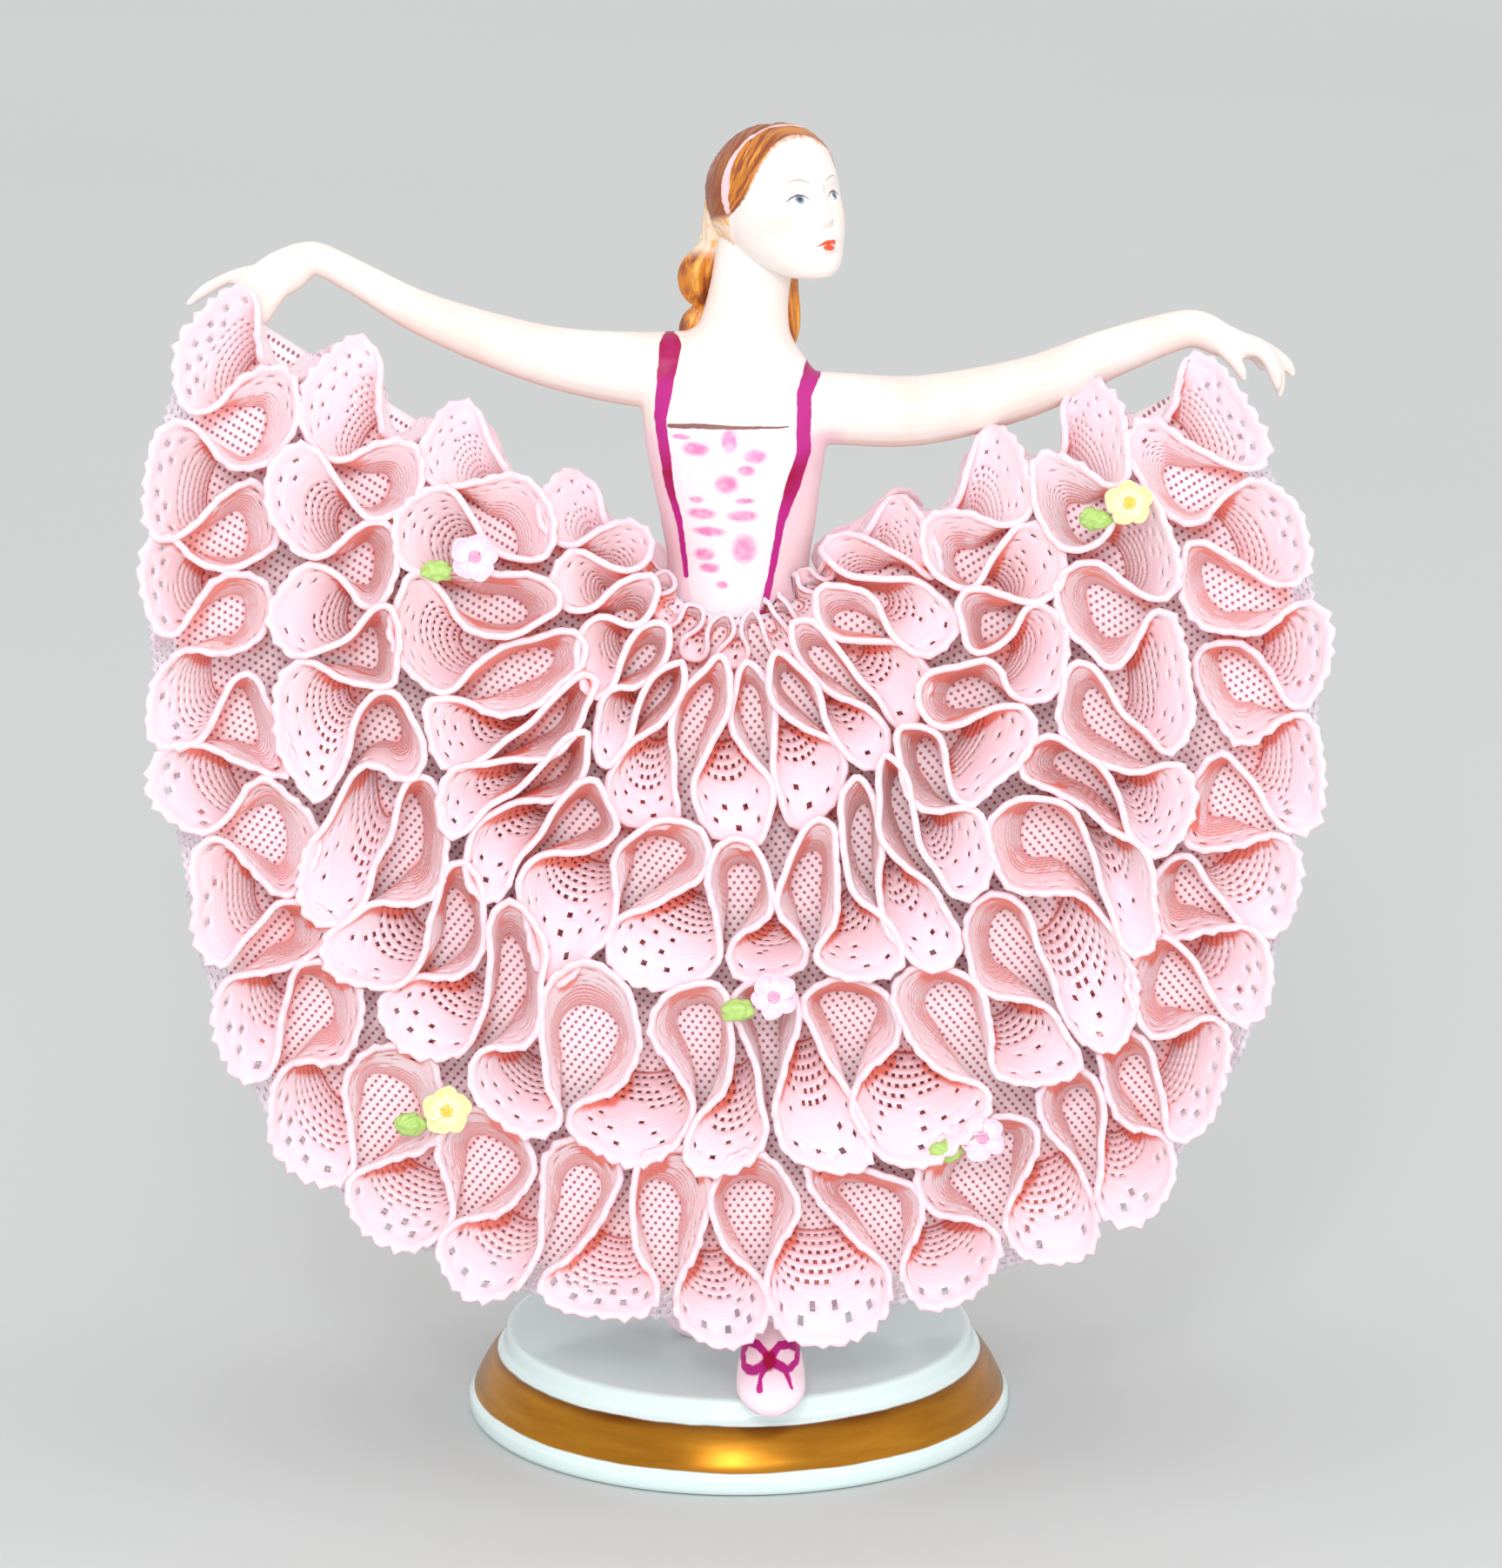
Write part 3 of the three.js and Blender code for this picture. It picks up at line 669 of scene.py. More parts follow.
def sewRuffle(name, middleTurn, tier, plan, chart, material, seed):
    chance = plan["chance"]
    marks = np.arange(tier["waves"] * 200 + 1)
    edges = ruffleEdges(middleTurn, tier, marks / 200, plan)
    rim, half = (ruffleCloth(chart, edges, np.full(len(marks), level)) for level in (1.0, 0.5))
    lengths = (runLengths(rim) + runLengths(half)) / 2
    columns = int(lengths[-1] / tier["cell"])
    rows = tier["rows"]
    stations = np.interp(np.linspace(0, lengths[-1], columns + 1), lengths, marks)
    pick = {key: np.interp(stations, marks, values)[None, :] for key, values in edges.items()}
    ups = np.linspace(0, 1 - rimRows[0][0], rows - len(rimRows) + 2)
    ups = np.concatenate([ups[:-1], [1 - drop for drop, _ in rimRows]])
    up = ups[:, None]
    cloth = ruffleCloth(chart, pick, up)
    square = unit(np.cross(np.gradient(cloth, axis=1), np.gradient(cloth, axis=0)))
    strip = np.linspace(0, lengths[-1], columns + 1)[None, :]
    wave = np.sin(strip / 1.9 + seed) + 0.7 * np.sin(strip / 1.15 + 2 * seed) * np.sin(strip / 5.3)
    cloth = cloth + square * (wave * ruffles["wobble"] * up ** 2)[..., None]
    teeth = 0.5 - 0.5 * np.cos(2 * math.pi * strip / ruffles["toothPitch"])
    teeth = teeth * (1 + 0.4 * np.sin(strip / 3.1 + seed))
    outward = unit(cloth[-1] - cloth[-3])
    for index, part in ((-1, 1.0), (-2, 0.9), (-3, 0.45)):
        cloth[index] = cloth[index] + outward * (part * tier["picot"] * teeth[0])[:, None]
    piece, column, row = addGrid(name, columns, rows)
    faceColumn, faceRow = faceCells(piece, columns, rows)
    isHole = netHoles(faceColumn, faceRow, ups, tier, chance)
    setPlaces(piece, cloth[row, column] * mm)
    setUv(piece, strip[0][column] / 10, ups[row])
    group = piece.vertex_groups.new(name="thickness")
    shares = np.full(rows + 1, 0.5)
    shares[-len(rimRows):] = [part * tier.get("cord", 1) for _, part in rimRows]
    for index in range(rows + 1):
        group.add(np.nonzero(row == index)[0].tolist(), float(shares[index]), "REPLACE")
    punchHoles(piece, isHole)
    applyModifier(piece, "SOLIDIFY", thickness=ruffles["thickness"] * mm, offset=0, vertex_group="thickness")
    shadeSmooth(piece, material)
    return piece


def blurred(piece, values, times):
    edges = np.empty(len(piece.data.edges) * 2, np.int32)
    piece.data.edges.foreach_get("vertices", edges)
    one, two, count = edges[0::2], edges[1::2], len(values)
    touching = np.maximum(np.bincount(one, minlength=count) + np.bincount(two, minlength=count), 1)
    for _ in range(times):
        total = np.bincount(one, values[two], count) + np.bincount(two, values[one], count)
        values = (values + total / touching) / 2
    return values


# The lamp that the painted shadow is worked out from, how far a fold may shade, and how far rays start off
# the cloth
shading = {
    "lamp": (-0.06, 0.91, 0.53),
    "reach": 8,
    "lift": 0.15,
}


# Paints shade into the cloth's colour: marks cloth that a fold shades from the lamp, or that turns away from
# it and faces down, which gets a painted orange-pink shadow, and cloth that lies open to the light, which
# gets a painted evening-out; each side is looked at from its own front
def markShaded(pieces, lamp, reach):
    mesh = bmesh.new()
    for piece in pieces:
        mesh.from_mesh(piece.data)
    tree = BVHTree.FromBMesh(mesh)
    mesh.free()
    for piece in pieces:
        places = getPlaces(piece)
        normals = getTriples(piece.data.vertices, "normal")
        starts = places + normals * shading["lift"] * mm
        lamps = np.array(lamp) * np.where(normals[:, 1:2] < 0, (1, -1, 1), (1, 1, 1))
        ways = unit(lamps - places)
        lampLit = (normals * ways).sum(axis=1)
        rays = zip(starts.tolist(), ways.tolist())
        shaded = [tree.ray_cast(start, way, reach * mm)[0] is not None for start, way in rays]
        # Painted shade also on cloth turned away from the lamp and facing down
        turned = smoothStep(0.25, 0, lampLit) * smoothStep(0, -0.4, normals[:, 2])
        setAttribute(piece, "under", blurred(piece, np.maximum(shaded, turned), 2))
        setAttribute(piece, "lampLit", blurred(piece, smoothStep(0.2, 0.85, lampLit), 2))


# Staggered net holes below, and three sparse rows of longer ones towards the edge
def netHoles(column, row, ups, tier, chance):
    centre = (ups[row] + ups[row + 1]) / 2
    wavy = 0.1 * np.sin(column / 11.0) * np.sin(column / 29.0) + 0.05 * np.sin(column / 3.7)
    net = (row % 2 == 1) & ((column + row // 2) % 2 == 0)
    net &= (centre > ruffles["netStart"]) & (centre < tier["net"] + wavy)
    net &= chance.random(len(column)) > 0.03
    under = len(ups) - 1 - len(rimRows) - row
    kept = chance.random(column.max() + 1)[column]
    tall = 2 if tier["picot"] > 0.7 else 1
    sparse = (under > 0) & (under <= tall) & (column % 4 == 0) & (kept > 0.15)
    sparse |= (under > 3) & (under <= 3 + tall) & (column % 4 == 2) & (kept > 0.4)
    sparse |= (under == 7) & (column % 4 == 3) & (kept > 0.5)
    sparse &= centre > tier["net"] + wavy + 0.03
    return net | sparse


# The net bell under the ruffles, and its fine hem that peeps out below them
underskirt = {
    "columns": 330,
    "rows": 64,
    "hemStart": 0.965,
    "hemOverlap": 0.01,
    "hemCell": 0.7,
    "hemEnd": 1.0,
    "hemWave": 1.3,
    "hemRows": 10,
    "hemTooth": 0.55,
    "thickness": 0.8,
    "hemThickness": 0.5,
    "hemTones": ((0.68, 0.64, 0.74), (0.92, 0.87, 0.94)),
}


# Rows run from the hem up, so that the faces look outwards
def addBell(name, columns, rows, start, end, drop):
    turns = np.linspace(-math.pi, math.pi, 1441)
    lengths = skirtRun(end, turns)
    stations = np.interp(np.linspace(0, lengths[-1], columns + 1), lengths, turns)
    alongs = np.linspace(end, start, rows + 1)
    turn, along = np.meshgrid(stations, alongs)
    cloth = aboveSkirt(along, turn, np.full(along.shape, -drop))
    piece, column, row = addGrid(name, columns, rows)
    return piece, column, row, cloth, np.linspace(0, lengths[-1], columns + 1), alongs


def closeBell(piece, places, across, up, thickness, material, isHole=None):
    setPlaces(piece, places * mm)
    setUv(piece, across, up * 80)
    inEditMode(piece, bpy.ops.mesh.remove_doubles, threshold=0.01 * mm)
    if isHole is not None:
        punchHoles(piece, isHole)
    applyModifier(piece, "SOLIDIFY", thickness=thickness * mm, offset=-1)
    shadeSmooth(piece, material)


def sewUnderskirt(material, hemMaterial):
    columns, rows = underskirt["columns"], underskirt["rows"]
    bell, column, row, cloth, strip, alongs = addBell("netBell", columns, rows, 0, underskirt["hemStart"], 0)
    closeBell(bell, cloth[row, column], strip[column], alongs[row], underskirt["thickness"], material)
    turns = np.linspace(-math.pi, math.pi, 721)
    lengths = skirtRun(1.0, turns)
    columns = int(lengths[-1] / underskirt["hemCell"] / 2) * 2
    rows = underskirt["hemRows"]
    start = underskirt["hemStart"] - underskirt["hemOverlap"]
    hem, column, row, cloth, strip, alongs = addBell(
        "fineHem", columns, rows, start, underskirt["hemEnd"], 0.1
    )
    tooth = underskirt["hemTooth"] * (column % 2 == 0) * (row == 0)
    down = unit(cloth[0] - cloth[1])
    wave = underskirt["hemWave"] * np.sin(2 * math.pi * np.round(strip[-1] / 8.5) * strip / strip[-1])
    wave = wave[column] * (1 - row / rows) ** 1.2
    out = skirtNormal(alongs[row], np.interp(strip[column], lengths, turns))
    places = cloth[row, column] + down[column] * tooth[:, None] + out * wave[:, None]
    faceColumn, faceRow = faceCells(hem, columns, rows)
    isHole = (faceRow % 2 == 1) & ((faceColumn + faceRow // 2) % 2 == 0) & (faceRow < rows - 2)
    closeBell(hem, places, strip[column], alongs[row], underskirt["hemThickness"], hemMaterial, isHole)
    return bell, hem


netLook = {
    "cloth": (0.99, 0.91, 0.97),
    # The hole colour is painted shade, as seen through the net
    "holeShade": (0.44, 0.12, 0.21),
    "pitch": 1.12,
    "rise": 0.78,
    "holeRadius": 0.22,
    "holeSoft": 0.05,
}


# Net drawn as dark dots of painted shade, as seen through holes, in the bell's glaze, in rings about the
# waist
def netMaterial(name, look):
    material, place = newMaterial(name)
    pitch, rise, soft = look["pitch"] * mm, look["rise"] * mm, look["holeSoft"]
    across, _, height = place.parts()
    below = float(waistCentre[2] - skirt["waistDip"]) * mm - height
    rowAt = (across * across + below * below).reckon("SQRT") / rise
    ring = (rowAt.reckon("FLOOR") + 0.5) * rise
    shift = rowAt.reckon("FLOOR").reckon("MODULO", 2) * 0.5
    columnAt = across.reckon("ARCTAN2", below) * ring / pitch + shift
    sideways = (columnAt.reckon("FRACT") - 0.5) * pitch
    upward = (rowAt.reckon("FRACT") - 0.5) * rise
    away = (sideways * sideways + upward * upward).reckon("SQRT")
    holeShadeMask = away.ramp(1, 0, (look["holeRadius"] - soft) * mm, (look["holeRadius"] + soft) * mm, True)
    base = mix(place.noise(120, 2), look["cloth"], tuple(0.93 * part for part in look["cloth"]))
    # Painted shadow where the ruffles shade the bell
    base = mix(attributeOf(material, "under").ramp(0, 0.85, 0.4, 0.85), base, laceLook["under"])
    setShader(material, Base_Color=mix(holeShadeMask, base, look["holeShade"]), Normal=(1 - holeShadeMask).bump(0.5, 0.3 * mm))
    setShader(material, Roughness=0.45)
    return material


# Blossoms and leaves stuck to the ruffles' edges
flower = {
    "radius": 3.6,
    "petals": 5,
    "petalWidth": 1.62,
    "petalRings": [
        (0.3, -0.55), (0.7, -0.35), (0.95, 0.25), (1.0, 0.6), (0.93, 0.78), (0.75, 0.45), (0.5, 0.1),
        (0.25, -0.05),
    ],
    "bossRadius": 0.85,
    "boss": [
        (0.9, -0.7), (1.0, -0.1), (0.95, 0.25), (0.8, 0.5), (0.6, 0.56), (0.5, 0.45), (0.38, 0.46),
        (0.22, 0.66), (0.1, 0.7),
    ],
    "leafLength": 4.2,
    "leafWidth": 3.0,
    "leafDepth": 1.2,
    "pink": ((0.93, 0.70, 0.82), (0.90, 0.80, 0.88), (0.75, 0.30, 0.52), (0.90, 0.55, 0.72)),
    "yellow": ((0.93, 0.86, 0.45), (0.92, 0.90, 0.66), (0.90, 0.55, 0.08), (0.93, 0.72, 0.15)),
    "leaf": ((0.28, 0.50, 0.08), (0.58, 0.78, 0.26)),
}


def nearestSkirt(point):
    levels, turns = np.linspace(0.02, 1.02, 101), np.linspace(-90, 90, 181) * degree
    along, turn = np.meshgrid(levels, turns, indexing="ij")
    away = np.linalg.norm(aboveSkirt(along, turn, np.full(along.shape, 9.0)) - point, axis=-1)
    best = np.unravel_index(np.argmin(away), away.shape)
    return along[best], turn[best]


def nodeCentre(node):
    low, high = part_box(node)
    return (np.array(low) + np.array(high)) / 2 / mm


def blossomFrame(centre):
    out = skirtNormal(*nearestSkirt(centre))
    right = unit(np.cross(np.array([0, 0, 1.0]), out))
    return right, np.cross(out, right), out


def placeLoft(name, rings, centre, axes):
    right, upward, out = axes
    world = centre + rings[..., :1] * right + rings[..., 1:2] * upward + rings[..., 2:3] * out
    return addLoft(name, world)


# A petal as a small cup with a waved edge, in rings from its underside round to its top
def petalRings(angle, phase):
    own = 1 + 0.13 * math.sin(5 * phase)
    length, width = flower["radius"] * 0.62 * own, flower["petalWidth"] * own
    sides = 20
    turn = circle(sides)
    rings = []
    for size, height in flower["petalRings"]:
        x = size * width * np.cos(turn)
        y = size * length * 0.64 * np.sin(turn) * (1 - 0.12 * np.cos(3 * turn)) + flower["radius"] * 0.5
        z = height + 0.3 * size * np.sin(3 * turn + phase) + 0.12 * math.sin(9 * phase)
        rings.append(np.stack([
            x * math.cos(angle) - y * math.sin(angle),
            x * math.sin(angle) + y * math.cos(angle),
            z,
        ], axis=-1))
    return np.array(rings)


def makeBlossom(name, node, material, seed):
    chance = np.random.default_rng(seed)
    centre = nodeCentre(node)
    axes = blossomFrame(centre)
    first = chance.uniform(0, 1.2)
    parts = []
    for index in range(flower["petals"]):
        angle = first + index * 2 * math.pi / flower["petals"] + chance.uniform(-0.08, 0.08)
        parts.append(placeLoft("petal", petalRings(angle, chance.uniform(0, 6)), centre, axes))
    boss = [(radius * flower["bossRadius"], height) for radius, height in flower["boss"]]
    parts.append(placeLoft("boss", turnedRings(boss, 16), centre, axes))
    piece = joinPieces(name, parts)
    applyModifier(piece, "SUBSURF", levels=1, render_levels=1)
    shadeSmooth(piece, material)
    away = getPlaces(piece) / mm - centre
    flat = away - (away @ axes[2])[:, None] * axes[2]
    setAttribute(piece, "fromMiddle", np.linalg.norm(flat, axis=1) / flower["radius"])
    return piece


def petalMaterial(name, petal, shade, boss, bossShade):
    material, place = newMaterial(name)
    away = attributeOf(material, "fromMiddle")
    cloud = place.noise(500)
    colour = mix(away.ramp(1, 0, 0.25, 0.75, True), petal, shade)
    colour = mix(away.ramp(1, 0, 0.22, 0.27, True), colour, mix(cloud, boss, bossShade))
    setShader(material, Base_Color=colour, Normal=cloud.bump(0.15, 0.2 * mm))
    setShader(material, Roughness=0.3, Coat_Weight=0.2, Coat_Roughness=0.15)
    return material


def makeLeaf(name, node, material, seed):
    chance = np.random.default_rng(seed)
    centre = nodeCentre(node)
    axes = blossomFrame(centre)
    clearSelection()
    bpy.ops.mesh.primitive_ico_sphere_add(subdivisions=4, radius=1)
    piece = renamed(bpy.context.object, name)
    ball = getPlaces(piece)
    bumps = sum(np.sin(ball @ chance.normal(0, 5.5, 3) + chance.uniform(0, 6)) for _ in range(7)) * 0.045
    ball = ball * (1 + bumps)[:, None]
    size = np.array([flower["leafLength"] / 2, flower["leafWidth"] / 2, flower["leafDepth"]])
    local = ball * size
    places = centre + local[:, :1] * axes[0] + local[:, 1:2] * axes[1] + local[:, 2:3] * axes[2]
    setPlaces(piece, places * mm)
    shadeSmooth(piece, material)
    return piece


# Base
base = {
    "radius": 37.6,
    "footHeight": 3,
    "giltRise": 5.8,
    "giltRun": 3.4,
    "giltBulge": 0.3,
    "ledge": 0.6,
    "platformRise": 3.2,
    "sides": 128,
    "giltEdges": (3.55, 9.05),
    "giltSoft": 0.1,
    "giltWander": 0.6,
    "goldDark": (0.21, 0.07, 0.005),
    "goldLight": (0.54, 0.245, 0.026),
    "goldEdge": (0.16, 0.06, 0.02),
    "glaze": ((0.66, 0.81, 0.80), (0.73, 0.87, 0.86)),
}


def turnBase():
    foot, rise, run, ledge = base["footHeight"], base["giltRise"], base["giltRun"], base["ledge"]
    giltTop = foot + rise
    giltRadius = base["radius"] - ledge - run
    platformRadius = giltRadius - ledge
    top = giltTop + base["platformRise"]
    radius, end = base["radius"], platformRadius - ledge
    profile = [(0.3, 0), (radius - 1.6, 0), (radius - 1, 0.02), (radius - 0.3, 0.3), (radius, 1)]
    profile += [(radius, foot - 0.8), (radius - 0.15, foot - 0.3), (radius - ledge, foot)]
    for way in (0.25, 0.5, 0.75):
        bulge = base["giltBulge"] * math.sin(way * math.pi)
        profile.append((giltRadius + run * (1 - way) + bulge, foot + rise * way))
    profile += [(giltRadius, giltTop - 0.1), (giltRadius - 0.3, giltTop + 0.15)]
    profile += [(platformRadius - inward, giltTop + up) for inward, up in ((0, 0.3), (0.3, 0.6), (0.5, 1.2))]
    profile += [(end, top - 0.9), (end - 0.15, top - 0.4), (end - 0.5, top - 0.08), (end - 1.2, top)]
    profile += [(inside, top + 0.05) for inside in (24, 12, 0.3)]
    piece = addLoft("glazedBase", turnedRings(profile, base["sides"]))
    shadeSmooth(piece)
    return piece


def baseMaterial():
    material, place = newMaterial("glazedBaseAndGilt")
    low, high = base["giltEdges"]
    soft = base["giltSoft"]
    height = place.parts()[2] + place.noise(90, 4) * (base["giltWander"] * mm)
    gilt = height.ramp(0, 1, (low - soft) * mm, (low + soft) * mm)
    gilt = gilt * height.ramp(1, 0, (high - soft) * mm, (high + soft) * mm)
    brush = place.mapped((60, 60, 500)).noise(1, 4, 0.6)
    gold = mix(brush, base["goldDark"], base["goldLight"])
    gold = mix(height.ramp(0, 0.75, 8.0 * mm, 9.0 * mm), gold, base["goldEdge"])
    glaze = mix(place.noise(30, 2), *base["glaze"])
    setShader(material, Base_Color=mix(gilt, glaze, gold), Metallic=gilt, Roughness=gilt.ramp(0.12, 0.30))
    setShader(material, Normal=brush.bump(0.04, 0.1 * mm))
    return material


# The dancer
def torsoSections():
    return [
        (440, 0, 0, 40, 34), (475, 0, 0, 66, 45), (523, 0, 0, 72, 50), (582, 0, 0, 65, 45),
        (636, 0, 0, 57, 40), (677, 0, -3, 62, 43), (719, -2, -7, 69, 49, -3), (749, -3, -9, 74, 52, -7),
        (775, -2, -5, 77, 47, -11), (799, 0, 0, 76, 39, -13), (815, 3, 3, 56, 34, -12),
        (830, 5, 4, 39, 33, -8), (846, 6, 4, 34, 31, -3), (872, 10, 5, 32, 30), (905, 17, 8, 33, 32),
        (925, 24, 6, 30, 30),
    ]


def headToBody():
    turn = Matrix.Rotation(figure["headTurn"] * degree, 3, "Z")
    lift = Matrix.Rotation(-figure["headLift"] * degree, 3, "X")
    return np.array(turn @ lift), bodyPoint(*figure["headPlace"])


def shapeDancer():
    rightArm = [
        (-40, 0, 802, 30), (-80, 0, 801, 30), (-143, -2, 810, 25), (-200, -4, 827, 21),
        (-255, -6, 849, 17), (-297, -8, 873, 14), (-330, -11, 891, 13), (-343, -12, 891, 15, 12),
        (-356, -13, 884, 18, 10), (-369, -15, 877, 18, 8), (-378, -16, 869, 16, 7),
        (-384, -16, 862, 12, 5),
    ]
    leftArm = [
        (40, 0, 771, 30), (80, 0, 769, 29), (146, -2, 768, 28), (230, -4, 787, 24), (291, -6, 813, 20),
        (345, -10, 833, 16), (366, -11, 835, 15), (384, -12, 827, 13.5, 12), (400, -13, 822, 11, 10),
        (409, -13, 819, 8, 7),
    ]
    fingers = [
        [(-374, -13, 882, 8, 6), (-392, -12, 880, 6, 5.5), (-408, -11, 875, 5, 5),
         (-424, -11, 866, 5, 4.5), (-438, -10, 854, 2.5)],
        [(-378, -15, 882, 9, 7), (-389, -18, 871, 9, 7), (-396, -20, 862, 8, 6), (-399, -20, 856, 5)],
        [(-370, -16, 878, 9, 7), (-381, -19, 865, 9, 7), (-388, -21, 854, 8, 6), (-391, -21, 848, 5)],
        [(-362, -16, 873, 9, 7), (-372, -19, 859, 9, 7), (-379, -21, 847, 8, 6), (-381, -21, 841, 5)],
        [(384, -19, 824, 8, 7), (393, -22, 813, 6, 5.5), (399, -23, 804, 5, 4.5), (402, -23, 796, 2.5)],
        [(400, -17, 824, 9, 8), (415, -19, 820, 7, 6.5), (423, -20, 810, 6.2, 6), (427, -20, 799, 5.4, 5),
         (429, -20, 788, 2.5)],
        [(401, -9, 824, 9, 8), (417, -9, 819, 7, 6.5), (428, -9, 805, 5.8, 5.5), (431, -9, 791, 5, 5),
         (431, -9, 780, 2.5)],
        [(400, -3, 821, 8, 7), (416, -2, 819, 6.5, 6), (429, -1, 812, 5.6, 5), (438, -1, 804, 5, 4.5),
         (443, -1, 795, 2.5)],
        [(400, 6, 822, 8, 6), (415, 8, 808, 5, 5), (419, 8, 798, 2.5)],
    ]
    parts = [
        addLoft("torso", trunkRings(torsoSections())),
        addLoft("rightArm", limbRings(rightArm)),
        addLoft("leftArm", limbRings(leftArm)),
    ]
    parts += [addLoft(f"finger{i}", limbRings(finger, 12)) for i, finger in enumerate(fingers)]
    piece = joinPieces("dancerBody", parts)
    applyModifier(piece, "REMESH", mode="VOXEL", voxel_size=0.3 * mm)
    applyModifier(piece, "SMOOTH", factor=0.5, iterations=6)
    applyModifier(piece, "DECIMATE", ratio=0.22)
    shadeSmooth(piece)
    # Painted shade: skin turned away from the front and facing down is tinted warmer
    normals = getTriples(piece.data.vertices, "normal")
    setAttribute(piece, "paintedEdgeShade", smoothStep(0.35, 1.3, 1 + normals[:, 1] - 0.5 * normals[:, 2]))
    return piece


# The head in its own frame, in thousandths of the body's height: x to its left, y to the back, z up
skullSections = [
    (-59, 0, -40, 10, 10), (-55, 0, -34, 19, 19), (-48, 0, -27, 27, 28), (-38, 0, -18, 34, 38),
    (-26, 0, -11, 39, 47), (-10, 0, -4, 43, 54), (5, 0, -1, 45, 56), (20, 0, 0, 46, 55),
    (34, 0, -1, 44, 50), (46, 0, -3, 38, 40), (55, 0, -4, 29, 29), (60, 0, -5, 20, 20), (63, 0, -6, 9, 9),
]
# Pushes forward: x, z, spread in x and z, amount; those off the middle are made on both sides
faceForms = [
    (15, 17, 13, 5, 1.6), (17.5, 5, 10, 6.5, -4.6), (17.5, 3.5, 7, 4.6, 3.0), (17.5, 8, 8.5, 1.5, 0.7),
    (0, 15, 5, 7, 1.4), (0, 5, 3.6, 8, 4.2), (0, -5, 3.6, 7, 6.0), (0, -14.5, 4.0, 4.4, 9.0),
    (4.4, -17.5, 2.4, 2.6, 3.2), (25, -14, 12, 12, 2.2), (0, -34, 13, 9, 2.0), (3.2, -31.6, 4.2, 2.2, 2.4),
    (0, -38.2, 6, 2.7, 3.2), (0, -35, 8.5, 1.1, -1.8), (9.6, -35, 2.4, 2.4, -1.0),
    (0, -43.5, 7, 2.4, -1.4), (0, -51.5, 10, 6.5, 3.0), (0, -24, 2.2, 3, -0.9),
]
hairEdge = {
    "z": (-60, -40, -30, -20, -8, 0, 4, 7, 13, 24, 35, 46, 54, 62, 72),
    "y": (34, 30, 22, 12, 8, 3, -6, -12, -20, -28, -34, -37, -37, -33, -26),
    "thick": 5.2,
    "strand": 0.42,
}


def hairDepth(places):
    edge = np.interp(places[..., 2], hairEdge["z"], hairEdge["y"])
    return (places[..., 1] - edge) * 0.78


def shapeHead():
    sides, rings = 150, []
    turn = circle(sides)
    turn = turn - 0.42 * np.cos(turn)
    for z, x, y, half, halfDepth in smoothSections(skullSections, 9):
        front = np.sin(turn) < 0
        flat = np.abs(np.cos(turn)) ** np.where(front, 0.88, 1.0) * np.sign(np.cos(turn))
        depth = np.sin(turn) * halfDepth
        rings.append(np.stack([x + half * flat, y + depth, np.full(sides, z)], axis=-1))
    rings = np.array(rings)
    for x, z, spreadX, spreadZ, amount in faceForms:
        for side in ((1, -1) if x else (1,)):
            near = np.exp(-((rings[..., 0] - side * x) / spreadX) ** 2 - ((rings[..., 2] - z) / spreadZ) ** 2)
            rings[..., 1] -= near * amount * smoothStep(5, 22, -rings[..., 1])
    depth = hairDepth(rings)
    middle = np.array([0, 6, 5])
    outward = unit((rings - middle) * np.array([1.3, 1, 1.1]))
    along = np.arctan2(rings[..., 2], rings[..., 1])
    thick = hairEdge["thick"] * (0.36 * smoothStep(-0.6, 1.6, depth) + 0.64 * smoothStep(1, 26, depth))
    ridges = np.sin(depth * 1.15 + 0.9 * np.sin(along * 5 + rings[..., 0] / 14))
    ridges = ridges + 0.6 * np.sin(depth * 2.3 + 2 * np.sin(along * 4))
    thick = thick + hairEdge["strand"] * ridges * smoothStep(2, 6, depth)
    rings = rings + outward * thick[..., None]
    rotation, place = headToBody()
    world = (rings * share) @ rotation.T + place
    piece = addLoft("dancerHead", world)
    local = (getPlaces(piece) / mm - place) @ rotation / share
    ribbonAway, ribbonHalf = ribbonPlace(local)
    setAttribute(piece, "hairDepth", hairDepth(local))
    setAttribute(piece, "ribbonWay", np.abs(ribbonAway) - ribbonHalf)
    setAttribute(piece, "ribbonSide", ribbonAway)
    shadeSmooth(piece)
    return piece


# How far each point lies behind the ribbon's middle, and half the ribbon's width there
def ribbonPlace(local):
    line = np.interp(local[:, 2], (-20, 2, 15, 30, 45, 56, 64, 75), (6, 3, 0, -5, -11, -16, -20, -23))
    width = np.interp(local[:, 2], (0, 6, 22, 36, 55, 66), (2.0, 2.8, 4.2, 3.2, 1.6, 1.0))
    return (local[:, 1] - line) * 0.93, width


